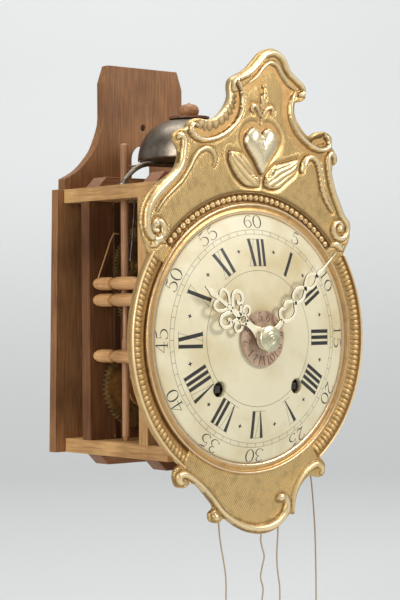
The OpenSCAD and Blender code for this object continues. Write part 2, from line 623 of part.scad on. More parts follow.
module bell_knob() color(wood) translate([0, bell_y, bell_top + 1.8]) rotate_extrude() polygon(
    [[stand_r, 0], [7, 0], [10.6, 1], [12.4, 3], [13, 5.5], [12.4, 8], [10.4, 9.8], [6.5, 10.8], [0,
        10.8], [0, 9.6],
    [stand_r, 9.6]]);
module hammer_spring() color(steel) {
    translate([-56.2, 72.6, cage_ceiling - 1]) cylinder(r = 0.5, h = 1);
    wire([[-56.2, 72.6, cage_ceiling - 1], [-56.4, 72.6, 96], [-57.6, 73.4, 76], [-58.6, 75, 58]], 0.5);
}

// Train pieces
module winding_arbor() {
    rod_y(winding_r, front_bar_y - 2, rear_bar_y - end_gap);
    rod_y(through_r, rear_bar_y - end_gap, rear_bar_y + pivot_len);
    slab_y(winding_tip, front_bar_y - 2) square(square_side, center = true);
}
module drum() difference() {
    union() {
        rod_y(drum_r, drum_layer[0], drum_layer[1]);
        rod_y(drum_flange_r, drum_layer[0], drum_layer[0] + 2);
        rod_y(drum_flange_r, drum_layer[1] - 2, drum_layer[1]);
        slab_y(ratchet_layer[0], ratchet_layer[1]) ratchet();
    }
    rod_y(winding_r, 0, board_face);
}
ratchet_r = 12;
ratchet_teeth = 20;
module ratchet() polygon([for (i = [0:ratchet_teeth - 1]) for (s = [[ratchet_r, 0], [ratchet_r - 1.8, 1]])
    let (a = 360 * (i + s[1]) / ratchet_teeth) s[0] * [cos(a), sin(a)]]);
click_post_r = 1.2;
click_place = [16.5, 8];
module great_wheel(turn) {
    slab_y(great_layer[0], great_layer[1]) great_outline(winding_r + fit, turn);
    translate([click_place[0], 0, click_place[1]]) rod_y(click_post_r, ratchet_layer[0], great_layer[0]);
}
module click() difference() {
    slab_y(ratchet_layer[0] + 0.3, ratchet_layer[1] - 0.3) difference() {
        union() {
            translate(click_place) circle(2.6);
            polygon([[14.4, 9.4], [18.6, 9.6], [14.6, 17.6], [8.6, 13.6], [8.2, 10.6], [11, 11.6], [14,
                12.4]]);
        }
        circle(ratchet_r + 0.5);
        translate(click_place) circle(click_post_r + fit);
    }
}
module arbor(y0, y1, front_pivot = pivot_r, front_tip = front_bar_back - pivot_len,
        rear_pivot = pivot_r, rear_tip = rear_bar_y + pivot_len) {
    rod_y(front_pivot, front_tip, y0);
    rod_y(arbor_r, y0, y1);
    rod_y(rear_pivot, y1, rear_tip);
}
gap_turn = 180 / pinion_leaves;
module second_arbor(front_pivot, front_tip) {
    low = great_layer[0] - 0.8;
    arbor(front_bar_back + end_gap, low - 1.2, front_pivot, front_tip);
    rod_y(pivot_r + 0.5, low - 1.2, great_layer[1] + 2);
    lantern(great_module, 0.75, low, great_layer[1] + 0.8, 270 + gap_turn);
}
module going_second_wheel() color(brass) at(train_x, second_z) {
    second_arbor(through_r, drive_layer[0] - 2);
    slab_y(second_layer[0], second_layer[1]) train_wheel(second_teeth, fine_module, arbor_r, 90);
    slab_y(drive_layer[0], drive_layer[1]) difference() {
        drive_outline(atan2(-second_z, -train_x));
        circle(through_r);
    }
}
module drive_outline(turn) rotate(turn) toothed(drive_teeth, drive_gap / 2, 0.86 * drive_module,
    1.15 * drive_module,
    1.92 * drive_module, 1.3 * drive_module, 0.58 * drive_module);
module third_arbor() {
    low = second_layer[0] - 0.8;
    high = second_layer[1] + 0.8;
    rod_y(pivot_r, front_bar_back - pivot_len, low);
    rod_y(pivot_r + 0.5, low, high);
    lantern(fine_module, 0.5, low, high, 270 + gap_turn);
    arbor(high + 1.2, rear_bar_y - end_gap, pivot_r, high);
    slab_y(third_layer[0], third_layer[1]) train_wheel(third_teeth, fine_module, arbor_r, 90);
}
module going_third_wheel() color(brass) at(train_x, third_z) third_arbor();
module fourth_arbor() {
    low = third_layer[0] - 0.8;
    high = third_layer[1] + 0.8;
    arbor(front_bar_back + end_gap, low - 1.2);
    rod_y(pivot_r + 0.5, low - 1.2, high + 1.2);
    lantern(fine_module, 0.5, low, high, 270 + gap_turn);
}
module escape_outline() difference() {
    polygon([for (i = [0:escape_teeth - 1]) for (s = [[escape_r - 3.2, 0], [escape_r, 0.16], [escape_r,
        0.3], [escape_r - 3.2, 0.62]])
        let (a = 360 * (i + s[1]) / escape_teeth) s[0] * [cos(a), sin(a)]]);
    crossings(arbor_r + 2.4, escape_r - 5.4, 4, 2.6);
    circle(arbor_r);
}
module escape_wheel() color(brass) at(train_x, fourth_z) {
    fourth_arbor();
    slab_y(escape_layer[0], escape_layer[1]) escape_outline();
}
anchor_drop = anchor_z - fourth_z;
anchor_span = 42;
module anchor() color(steel) {
    at(train_x, anchor_z) {
        rod_y(pivot_r, front_bar_back - pivot_len, front_bar_back + end_gap);
        rod_y(2, front_bar_back + end_gap, rear_bar_y - end_gap);
        rod_y(through_r, rear_bar_y - end_gap, rear_bar_back + 9);
    }
    at(train_x, fourth_z) slab_y(escape_layer[0] - 1, escape_layer[1] + 1) difference() {
        union() {
            intersection() {
                difference() {
                    circle(escape_r + 5);
                    circle(escape_r + 1);
                }
                polygon([[0, 0], 40 * [sin(-anchor_span), cos(anchor_span)], [0, 60],
                    40 * [sin(anchor_span), cos(anchor_span)]]);
            }
            translate([0, anchor_drop]) circle(4);
        }
        translate([0, anchor_drop]) circle(2);
    }
}
module crutch() color(steel) at(train_x, anchor_z) {
    y = rear_bar_back + 6;
    difference() {
        rod_y(3.4, y - 2, y + 2);
        rod_y(through_r, y - 3, y + 3);
    }
    tube(smooth([[0, y, -3], [0, y, -40], [0, y, -76], [-2.6, y + 1, -84], [-3, y + 9, -86]], 3), 0.8, 8);
    tube(smooth([[0, y, -70], [0.4, y, -76], [2.6, y + 1, -84], [3, y + 9, -86]], 3), 0.8, 8);
}
module going_great_wheel() color(brass) at(train_x, great_z) great_wheel(90);
module going_drum() color(wood) at(train_x, great_z) drum();
module going_winding_arbor() color(steel) at(train_x, great_z) winding_arbor();
module going_click() color(steel) at(train_x, great_z) click();
module strike_great_wheel() color(brass) at(-train_x, great_z) great_wheel(90);
module strike_drum() color(wood) at(-train_x, great_z) drum();
module strike_winding_arbor() color(steel) at(-train_x, great_z) winding_arbor();
module strike_click() color(steel) at(-train_x, great_z) click();
lift_pins = 8;
module pin_wheel() color(brass) at(-train_x, second_z) {
    second_arbor(pivot_r, front_bar_back - pivot_len);
    slab_y(second_layer[0], second_layer[1]) train_wheel(second_teeth, fine_module, arbor_r, 90);
    for (i = [0:lift_pins - 1]) rotate([0, 360 * i / lift_pins,
        0]) translate([second_teeth * fine_module / 2 - 2.4, 0, 0])
        rod_y(0.8, second_layer[1] - 1, second_layer[1] + 2.6);
}
module hoop_wheel() color(brass) at(-train_x, third_z) {
    third_arbor();
    slab_y(third_layer[0] - 4, third_layer[0]) difference() {
        circle(third_teeth * fine_module / 2 - 4.4);
        circle(third_teeth * fine_module / 2 - 5.6);
        translate([0, 20]) square(7, center = true);
    }
}
module warning_wheel() color(brass) at(-train_x, fourth_z) {
    fourth_arbor();
    rod_y(arbor_r, third_layer[1] + 2, warning_layer[1]);
    rod_y(pivot_r, warning_layer[1], rear_bar_y + pivot_len);
    slab_y(warning_layer[0], warning_layer[1]) train_wheel(warning_teeth, fine_module, arbor_r, 90);
}
fly_half = 17;
module fly() color(brass) at(-train_x, fly_z) {
    low = warning_layer[0] - 0.8;
    high = warning_layer[1] + 0.8;
    rod_y(pivot_r, front_bar_back - pivot_len, front_bar_back + 6);
    rod_y(2, front_bar_back + 6, low - 1.2);
    rod_y(pivot_r, low - 1.2, rear_bar_y + pivot_len);
    lantern(fine_module, 0.5, low, high, 270 + gap_turn);
    rotate([0, 24, 0]) difference() {
        block(-fly_half, fly_half, front_bar_back + 13, front_bar_back + 38, -0.4, 0.4);
        rod_y(2, 0, board_face);
    }
}

// Motion work and hands
change_turn = atan2(-change_z, -change_x);
module leaf_outline(m, turn) rotate(turn) toothed(leaf_count, leaf_count * m / 2, 0.83 * m, 1.08 * m,
    1.08 * m, 1.29 * m, 0.58 * m);
module minute_pipe() color(brass) difference() {
    union() {
        rod_y(pipe_r, minute_hand_y, drive_layer[1] + 1.5);
        rod_y(hand_seat_r, minute_hand_y - hand_t - 1, minute_hand_y);
        slab_y(drive_layer[0], drive_layer[1]) drive_outline(atan2(-second_z,
            -train_x) + 180 + 180 / drive_teeth);
        slab_y(change_layer[0] - 0.8, change_layer[1] + 0.8) leaf_outline(change_module,
            change_turn + 180 + 180 / leaf_count);
    }
    rod_y(stud_r + fit, minute_hand_y - hand_t - 2, front_bar_y);
}
module change_wheel() color(brass) at(change_x, change_z) difference() {
    union() {
        rod_y(3.4, hour_layer[0] - 1.4, change_layer[1] + 2);
        slab_y(change_layer[0], change_layer[1]) rotate(change_turn) toothed(change_teeth,
            change_teeth * change_module / 2,
            0.75 * change_module, 1.08 * change_module, 1.75 * change_module, 1.33 * change_module,
                0.58 * change_module);
        slab_y(hour_layer[0] - 0.8, hour_layer[1] + 0.8) leaf_outline(hour_module,
            change_turn + 180 / leaf_count);
    }
    rod_y(stud_r + fit, 0, front_bar_y);
}
module hour_pipe() color(brass) difference() {
    union() {
        rod_y(hour_pipe_r, hour_hand_y - hand_t, hour_layer[1] + 1);
        slab_y(hour_layer[0], hour_layer[1]) rotate(change_turn + 180) toothed(hour_teeth,
            hour_teeth * hour_module / 2,
            0.77 * hour_module, 1.07 * hour_module, 1.73 * hour_module, 1.33 * hour_module,
                0.6 * hour_module);
    }
    rod_y(pipe_r + fit, -30, front_bar_y);
}
module loop2d(u, v, r, w) translate([v, u]) difference() {
    circle(r);
    circle(r - w);
}
module pair2d(u, v, r, w) for (s = [-1, 1]) loop2d(u, s * v, r, w);
module bar2d(w0, u0, w1, u1) polygon([[-w0 / 2, u0], [w0 / 2, u0], [w1 / 2, u1], [-w1 / 2, u1]]);
module hand_outline(len, hub, seat) difference() {
    k = len / 72;
    union() {
        circle(hub);
        bar2d(4.4, hub - 1, 3, 20 * k);
        bar2d(3, 20 * k - 0.1, 2, 44 * k);
        pair2d(22.5 * k, 3, 2.8, 1.1);
        pair2d(32 * k, 5.2, 4.9, 1.4);
        pair2d(43.5 * k, 4, 3.6, 1.2);
        bar2d(2, 43.9 * k, 4.2, 53 * k);
        bar2d(4.2, 52.9 * k, 1, 62 * k);
        bar2d(1, 61.9 * k, 0.7, len);
    }
    circle(seat);
}
module hour_hand() color(gilt) slab_y(hour_hand_y - hand_t, hour_hand_y) rotate(-hour_angle)
    hand_outline(hour_len, hour_pipe_r + 3, hour_pipe_r);
module minute_hand() color(gilt) slab_y(minute_hand_y - hand_t, minute_hand_y) rotate(-minute_angle)
    hand_outline(minute_len, hand_seat_r + 3.6, hand_seat_r);
module hand_knob() color(brass) difference() {
    turn_y() polygon([[0, knob_face], [2, knob_face + 0.1], [4.6, knob_face + 0.9], [6.4, knob_face + 2],
        [6.9, knob_face + 3], [8.6, knob_face + 3.3], [knob_r, knob_face + 4.4], [knob_r,
            knob_face + 5.2],
        [knob_r - 1, minute_hand_y - hand_t], [0, minute_hand_y - hand_t]]);
    rod_y(hand_seat_r, minute_hand_y - hand_t - 1, 0);
}
module alarm_disc() color("rosybrown") difference() {
    union() {
        rod_y(alarm_disc_r, disc_face, disc_back);
        rod_y(hour_pipe_r + 2.2, disc_face - 0.6, disc_face);
    }
    rod_y(hour_pipe_r + fit, -30, 20);
}

// Turned lever arbors with their wires
module lever_body() turn_y() polygon([[0, front_bar_back + end_gap], [1.8, front_bar_back + end_gap],
    [3.4, front_bar_back + 4], [4.6, front_bar_back + 9.5], [lever_r, front_bar_back + 14], [lever_r,
        lever_neck_y - 5.5],
    [4.2, lever_neck_y - 2.2], [2.2, lever_neck_y - 0.8], [2.2, lever_neck_y + 0.8], [4.4,
        lever_neck_y + 1.8],
    [lever_r, lever_neck_y + 4], [lever_r, rear_bar_y - 10.4], [lever_r - 0.5, rear_bar_y - 10],
        [lever_r, rear_bar_y - 9.6],
    [4.3, rear_bar_y - 5], [3.2, rear_bar_y - 2.2], [1.8, rear_bar_y - end_gap], [0,
        rear_bar_y - end_gap]]);
module lever(z, finger) at(lever_x, z) {
    lever_body();
    rod_y(lever_pivot_r, front_bar_back - 4, front_bar_back + 2);
    rod_y(lever_pivot_r, rear_bar_y - 2, rear_bar_y + 4);
    wire(finger, 0.6);
}
module lifting_lever() color(wood) lever(lever_heights[0], [[1.5, rear_bar_y - 5, 1], [1.5,
    rear_bar_y - 2.6, 4],
    [13.5, rear_bar_y - 2.6, 33], [16.5, rear_bar_y - 2.6, 38], [21, rear_bar_y - 2.6, 38]]);
module warning_lever() color(wood) lever(lever_heights[1], [[2, rear_bar_y - 11.5, 1], [12,
    rear_bar_y - 11.5, 5], [19, rear_bar_y - 11.5, 9]]);
module locking_lever() color(wood) lever(lever_heights[2], [[2, front_bar_back + 18, 1], [12,
    front_bar_back + 18, 5], [20, front_bar_back + 18, 7]]);

// Hammer arbors
hammer_angle = 14;
module hammer_arm(z, rim, angle) {
    dir = [cos(angle), sin(angle), 0];
    tube(smooth([[0, 0, z], 0.4 * hammer_reach * dir + [0, 0, z + 1.6], 0.76 * hammer_reach * dir + [0, 0,
        z + 4.2], 0.94 * hammer_reach * dir + [0, 0, rim],
        hammer_reach * dir + [0, 0, rim + 4.5]], 3), 0.75, 10);
    translate(hammer_reach * dir + [0, 0, rim + 4.5]) rotate_extrude()
        polygon([for (k = [0:8]) 2.8 * [max(cos(22.5 * k - 90), 0), sin(22.5 * k - 90)]]);
}
module hammer_arbor() color(wood) translate([hammer_x, hammer_y, 0]) {
    low = -cage_floor;
    translate([0, 0, low - 3.4]) cylinder(r = pivot_r, h = 6);
    rotate_extrude() polygon([[0, low + 0.4], [1.6, low + 0.4], [2.85, low + 4], [2.85, -2], [1.9, 1],
        [1.9, 31], [3, 34],
        [3, hammer_top - 1], [2.2, hammer_top], [0, hammer_top]]);
    hammer_arm(bell_rim_z - 7, bell_rim_z, hammer_angle);
}
module alarm_pulley() color(wood) at(alarm_x, alarm_z) {
    turn_y() polygon([[0, alarm_y - 3], [sheave_r + 2, alarm_y - 3], [sheave_r + 2, alarm_y - 2.2],
        [sheave_r - 1, alarm_y - 0.8],
        [sheave_r - 1, alarm_y + 0.8], [sheave_r + 2, alarm_y + 2.2], [sheave_r + 2, alarm_y + 3],
            [0, alarm_y + 3]]);
    rod_y(alarm_arbor_r, shield_back + 4, front_bar_back + 15);
    slab_y(front_bar_back + 5, front_bar_back + 7) difference() {
        circle(11);
        crossings(4, 8.6, 4, 2.4);
    }
    difference() {
        rod_y(11, front_bar_back + 7, front_bar_back + 13);
        rod_y(9.9, front_bar_back + 6, front_bar_back + 14);
        for (i = [0:14]) rotate([0, 24 * i, 0]) translate([0, front_bar_back + 13, 0]) rotate([0, 45, 0])
            translate([8, -3.2, -1.5]) cube([5, 4, 3]);
    }
}
module alarm_hammer() color(steel) translate([verge_x, verge_y, 0]) {
    translate([0, 0, -cage_floor - 3.4]) cylinder(r = pivot_r, h = 4);
    translate([0, 0, -cage_floor + 0.4]) cylinder(r = 1.2, h = cage_floor + bell_rim_z - 3.4);
    for (s = [-1, 1]) translate([-4.5 + 2.2 * s, -0.4, alarm_z + s * 9.6 - 2]) cube([5.6 - 0.6 * s, 0.8, 4]);
    hammer_arm(bell_rim_z - 7, bell_rim_z, 160);
}

// Cords
function tube_frame(p, i, last) = let (a = p[max(i - 1, 0)], b = p[min(i + 1, last)],
    t = (b - a) / norm(b - a),
    u = cross(t, [0.36, 0.93, 0.02]), v = u / norm(u)) [v, cross(t, v)];
module tube(p, r, sides) {
    last = len(p) - 1;
    ring = [for (i = [0:last]) let (f = tube_frame(p, i,
        last)) for (k = [0:sides - 1]) let (a = 360 * k / sides)
        p[i] + r * (cos(a) * f[0] + sin(a) * f[1])];
    faces = concat([for (i = [0:last - 1]) for (k = [0:sides - 1]) let (a = i * sides + k,
        b = i * sides + (k + 1) % sides)
        each [[a, b + sides, b], [a, a + sides, b + sides]]],
        [[for (k = [0:sides - 1]) k]], [[for (k = [sides - 1:-1:0]) last * sides + k]]);
    polyhedron(ring, faces);
}
wrap_r = drum_r + cord_d / 2 + 0.35;
going_route = concat([for (k = [0:4]) let (a = 90 + 22.5 * k) [train_x + wrap_r * cos(a), going_hole[1],
    great_z + wrap_r * sin(a)]],
    [[25.1, 73, -52], [25.1, 73, -66], [25.1, 73, -84], [24.8, 73, -102], [24.4, 73, -120], [24, 73,
        -138], [24.8, 72.9, -152],
    [26.6, 72.8, -163], [28.8, 72.6, -174], [30.4, 72.4, -184], [30.6, 72, -194], [29.6, 71, -204],
        [29.4, 69, -214],
    [31.6, 65.6, -222], [36, 61.6, -227], [41, 57.6, -226], [45.8, 54.4, -219], [48.6, 52.8, -210],
        [50.4, 52, -201],
    [51, 52, -194], [48.6, 52, -186], [50.2, 52, -178], [52.5, 52, -170], [50.8, 52, -164], [49, 52,
        -157], [50, 52, -150],
    [51.2, 52, -143], [50.6, 52, -132], [50, 52, -118], [49.6, 52, -104], [50, 52, -90], [50, 52, -78],
        [50, 52, -73]]);
alarm_route = concat([[42.6, 23.5, -204], [42.6, 23.5, -196], [42.4, 23.5, -188], [41, 23.5, -180],
    [39.8, 23.5, -170],
    [40, 23.5, -160], [41, 23.5, -148], [41.3, 23.5, -136], [41.6, 23.5, -120], [42.2, 23.5, -104],
        [42.8, 23.5, -88],
    [43, 23.5, -72], [43, 23.5, -56], [43, 23.5, -30], [43, 23.5, 0], [43, 23.5, 24]],
    [for (k = [0:8]) let (a = 180 - 22.5 * k) [alarm_x + sheave_r * cos(a), alarm_y,
        alarm_z + sheave_r * sin(a)]],
    [[72, 23.5, 24], [72, 23.5, 0], [72, 23.5, -30], [72, 23.5, -56], [72, 23.5, -80], [72.6, 23.5,
        -90], [74.4, 23.5, -101],
    [76.6, 23.5, -114], [78.4, 23.5, -132], [79.7, 23.5, -150], [80.2, 23.5, -168], [80.4, 23.5, -184],
        [80.4, 23.5, -194], [80.4, 23.5, -204]]);
module going_cord() color(cord_tan) {
    tube(going_route, cord_d / 2, 8);
    translate([tie_hole[0], tie_hole[1], -cage_floor]) cylinder(r = cord_d * 1.7, h = 2.6);
}
module alarm_cord() color(cord_tan) tube(alarm_route, cord_d / 2, 8);
turn_rings = 24;
turn_pitch = cord_d + 0.5;
turns_y = going_hole[1] - 3;
wound_r = drum_r + cord_d / 2 + 0.1;
turns_route = [for (i = [0:drum_turns * turn_rings]) let (a = 90 - 360 * i / turn_rings)
    [train_x + wound_r * cos(a), turns_y - turn_pitch * i / turn_rings, great_z + wound_r * sin(a)]];
module going_cord_turns() color(cord_tan) tube(turns_route, cord_d / 2, 6);
echo(least_gap_of_turns = turn_pitch - cord_d);
module alarm_hooks() color(steel) for (x = [alarm_route[0][0], alarm_route[len(alarm_route) - 1][0]]) {
    translate([x, alarm_y, -210.6]) rotate([90, 0, 0]) rotate_extrude() translate([2.6, 0]) circle(0.7);
    translate([x, alarm_y, -207.4]) cylinder(r = 1.3, h = 3.4);
}

from_dial() back_board();
from_dial() top_plate();
from_dial() bottom_plate();
from_dial() battens();
from_dial() front_uprights();
from_dial() rear_uprights();
from_dial() front_train_bars();
from_dial() rear_train_bars();
from_dial() centre_rail();
from_dial() pivot_bushes();
from_dial() motion_studs();
from_dial() shield_board();
from_dial() dial_moulding();
from_dial() gadroon_bands();
from_dial() crest_carving();
from_dial() side_scrolls();
from_dial() heart_ornament();
from_dial() bead_row();
from_dial() apron_carving();
from_dial() dial();
from_dial() shield_pins();
from_dial() bell_stand();
from_dial() bell();
from_dial() bell_washer();
from_dial() bell_knob();
from_dial() hammer_spring();
from_dial() going_great_wheel();
from_dial() going_drum();
from_dial() going_winding_arbor();
from_dial() going_click();
from_dial() going_second_wheel();
from_dial() going_third_wheel();
from_dial() escape_wheel();
from_dial() anchor();
from_dial() crutch();
from_dial() strike_great_wheel();
from_dial() strike_drum();
from_dial() strike_winding_arbor();
from_dial() strike_click();
from_dial() pin_wheel();
from_dial() hoop_wheel();
from_dial() warning_wheel();
from_dial() fly();
from_dial() minute_pipe();
from_dial() minute_hand();
from_dial() hand_knob();
from_dial() change_wheel();
from_dial() hour_pipe();
from_dial() hour_hand();
from_dial() alarm_disc();
from_dial() lifting_lever();
from_dial() warning_lever();
from_dial() locking_lever();
from_dial() hammer_arbor();
from_dial() alarm_pulley();
from_dial() alarm_hammer();
from_dial() going_cord();
from_dial() going_cord_turns();
from_dial() alarm_cord();
from_dial() alarm_hooks();
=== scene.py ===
import bpy
import bmesh
import math
import numpy as np
from mathutils import Matrix, Vector


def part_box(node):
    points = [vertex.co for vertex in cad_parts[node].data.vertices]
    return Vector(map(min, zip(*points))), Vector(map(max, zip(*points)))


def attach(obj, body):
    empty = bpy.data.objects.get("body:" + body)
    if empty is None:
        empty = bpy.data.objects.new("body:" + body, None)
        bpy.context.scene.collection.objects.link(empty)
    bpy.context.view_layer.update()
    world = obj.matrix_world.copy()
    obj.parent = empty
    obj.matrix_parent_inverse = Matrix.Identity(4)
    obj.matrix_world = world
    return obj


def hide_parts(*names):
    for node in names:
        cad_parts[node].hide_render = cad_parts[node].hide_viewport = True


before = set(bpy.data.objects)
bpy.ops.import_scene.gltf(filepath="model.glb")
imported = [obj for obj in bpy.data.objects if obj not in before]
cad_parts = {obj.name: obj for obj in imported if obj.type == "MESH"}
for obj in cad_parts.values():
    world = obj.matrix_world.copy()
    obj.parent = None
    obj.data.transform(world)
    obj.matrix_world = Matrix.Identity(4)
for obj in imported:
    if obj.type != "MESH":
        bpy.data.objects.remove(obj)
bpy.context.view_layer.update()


# The viewpoint: the clock seen from its left, with the case open towards the viewer.
# Sizes are millimetres about the centre of the dial, X right, Y back and Z up.
# clock_point() turns them into metres about the nail hole in the wall.
wall_y, nail_z = 141.0, 165.0


def clock_point(x, y, z):
    return Vector((x, y - wall_y, z - nail_z)) * 0.001


picture_height, focus_in_pixels, film_height = 600.0, 1763.0, 36.0
eye = bpy.data.cameras.new("eye")
eye.sensor_fit = "VERTICAL"
eye.sensor_height = film_height
eye.lens = focus_in_pixels / picture_height * film_height
eye.clip_start = 0.05
eye_stand = bpy.data.objects.new("eye", eye)
bpy.context.scene.collection.objects.link(eye_stand)
bearing, tilt, lean = math.radians(39.85), math.radians(0.2), math.radians(-0.39)
gaze = Vector((math.sin(bearing) * math.cos(tilt), math.cos(bearing) * math.cos(tilt), math.sin(tilt)))
level = gaze.to_track_quat("-Z", "Y")
eye_stand.rotation_euler = (level @ Matrix.Rotation(lean, 4, "Z").to_quaternion()).to_euler()
eye_stand.location = clock_point(-859.1, -964.8, 24.0)
bpy.context.scene.camera = eye_stand


# The studio: a pale floor that curves up into a pale wall, and large soft lamps.
# The key lamp stands high on the right, so the hands throw their shade down and left.
# A finish is put together from steps, each one shader node with what goes into it.
def new_finish(name):
    look = bpy.data.materials.new(name)
    look.use_nodes = True
    return look


def set_inputs(look, step, inputs):
    for socket, value in inputs.items():
        if isinstance(value, bpy.types.NodeSocket):
            look.node_tree.links.new(value, step.inputs[socket])
        else:
            step.inputs[socket].default_value = value


def finish_step(look, kind, inputs=None, **settings):
    step = look.node_tree.nodes.new("ShaderNode" + kind)
    for setting, value in settings.items():
        setattr(step, setting, value)
    set_inputs(look, step, inputs or {})
    return step


def finish_with(look, inputs):
    set_inputs(look, look.node_tree.nodes["Principled BSDF"], inputs)
    return look


def blend(look, factor, first, second, blend_type="MIX"):
    return finish_step(look, "Mix", {"Factor": factor, "A": first, "B": second}, data_type="RGBA",
                       blend_type=blend_type).outputs["Result"]


def own_place(look):
    return finish_step(look, "TexCoord").outputs["Object"]


def as_piece(name, built, look=None):
    mesh = bpy.data.meshes.new(name)
    built.to_mesh(mesh)
    built.free()
    piece = bpy.data.objects.new(name, mesh)
    bpy.context.scene.collection.objects.link(piece)
    if look:
        mesh.materials.append(look)
    return piece


def smooth_out(built):
    for face in built.faces:
        face.smooth = True
    bmesh.ops.recalc_face_normals(built, faces=built.faces)


floor_z, floor_shade = -0.43, 0.70
floor_depth, wall_bend, sweep_width = 1.6, 0.8, 7.0


def pale_paint(name, colour, rough):
    paint = new_finish(name)
    height = finish_step(paint, "SeparateXYZ", {"Vector": own_place(paint)}).outputs["Z"]
    rise = finish_step(paint, "MapRange", {"Value": height, "From Min": floor_z, "From Max": 0.25},
                       interpolation_type="SMOOTHSTEP").outputs["Result"]
    # the floor is painted darker than the wall, a fixed fraction of its colour: painted shade low on the sweep
    shaded = (*[floor_shade * c for c in colour], 1)
    return finish_with(paint, {"Base Color": blend(paint, rise, shaded, (*colour, 1)), "Roughness": rough})


sweep = bmesh.new()
sweep_side = [(-2.4, 0.0), (floor_depth, 0.0)]
sweep_side += [(floor_depth + wall_bend * math.sin(a), wall_bend - wall_bend * math.cos(a))
               for a in np.radians(np.arange(10, 91, 10))]
sweep_side += [(floor_depth + wall_bend, 3.4)]
facing = Matrix.Rotation(-bearing, 3, "Z")
edge_line = [sweep.verts.new(facing @ Vector((-sweep_width / 2, along, up + floor_z))) for along, up in sweep_side]
strip = [sweep.edges.new(pair) for pair in zip(edge_line, edge_line[1:])]
grown = bmesh.ops.extrude_edge_only(sweep, edges=strip)
bmesh.ops.translate(sweep, verts=[v for v in grown["geom"] if isinstance(v, bmesh.types.BMVert)],
                    vec=facing @ Vector((sweep_width, 0, 0)))
smooth_out(sweep)
studio_sweep = as_piece("studio_sweep", sweep, pale_paint("studio_paint", (0.82, 0.83, 0.822), 0.9))


def soft_lamp(name, place, aim, size, power, colour=(1, 1, 1)):
    lamp = bpy.data.lights.new(name, "AREA")
    lamp.shape = "RECTANGLE"
    lamp.size, lamp.size_y = size
    lamp.energy = power
    lamp.color = colour
    stand = bpy.data.objects.new(name, lamp)
    bpy.context.scene.collection.objects.link(stand)
    stand.location = place
    stand.rotation_euler = (Vector(aim) - Vector(place)).to_track_quat("-Z", "Y").to_euler()


middle = clock_point(0, 0, 0)
soft_lamp("key_lamp", (0.75, -1.45, 0.75), middle, (0.45, 0.45), 18, (1.0, 0.97, 0.93))
soft_lamp("left_lamp", (-1.75, -0.5, 0.35), middle, (0.5, 1.3), 19)
soft_lamp("top_lamp", (-0.1, -0.3, 1.3), middle, (0.6, 0.6), 8)
soft_lamp("wall_lamp", (0.2, 0.6, 2.0), (1.3, 1.6, 0.3), (1.6, 1.6), 31)
world = bpy.data.worlds.new("studio_air")
world.use_nodes = True
world.node_tree.nodes["Background"].inputs["Color"].default_value = (0.90, 0.95, 1.0, 1)
world.node_tree.nodes["Background"].inputs["Strength"].default_value = 0.33
bpy.context.scene.world = world
bpy.context.scene.view_settings.view_transform = "Standard"


# Cords: natural linen, laid from three strands, worn and a little stiff.
# The going cord leaves its drum, hangs in a bight below the case and is tied off in the floor.
# The alarm cord runs over the sheave behind the shield and ends in two iron rings.
def ramp(look, factor, *stops):
    tone = finish_step(look, "ValToRGB", {"Fac": factor})
    for stop, (position, colour) in zip(tone.color_ramp.elements, stops):
        stop.position = position
        stop.color = (*colour, 1)
    return tone.outputs["Color"]


def relief(look, height, strength, depth, below=None, **settings):
    inputs = {"Height": height, "Strength": strength, "Distance": depth}
    if below:
        inputs["Normal"] = below
    return finish_step(look, "Bump", inputs, **settings).outputs["Normal"]


def strands(name, colour, count=3.0):
    look = new_finish(name)
    unrolled = finish_step(look, "UVMap", uv_map="UVMap").outputs["UV"]
    split = finish_step(look, "SeparateXYZ", {"Vector": unrolled})
    lay = finish_step(look, "Math", {0: split.outputs["X"], 1: count, 2: split.outputs["Y"]},
                      operation="MULTIPLY_ADD")
    strand = finish_step(look, "Math", {0: lay.outputs[0], 1: 0.5}, operation="PINGPONG").outputs[0]
    # the grooves between the strands are painted darker than the strands: painted shade
    return finish_with(look, {"Base Color": ramp(look, strand, (0.03, [c * 0.35 for c in colour]), (0.3, colour)),
                              "Roughness": 0.85, "Sheen Weight": 0.35, "Normal": relief(look, strand, 0.8, 0.0003)})


cord_look = strands("laid_linen", (0.56, 0.42, 0.26))


def rounded(points, steps):
    p = [np.array(q, float) for q in points]
    line = []
    for i in range(len(p) - 1):
        a, b, c, d = p[max(i - 1, 0)], p[i], p[i + 1], p[min(i + 2, len(p) - 1)]
        for k in range(steps):
            t = k / steps
            line.append(0.5 * (2 * b + (c - a) * t + (2 * a - 5 * b + 4 * c - d) * t * t
                               + (3 * b - a - 3 * c + d) * t ** 3))
    line.append(p[-1])
    return line


cord_thickness = 0.0012


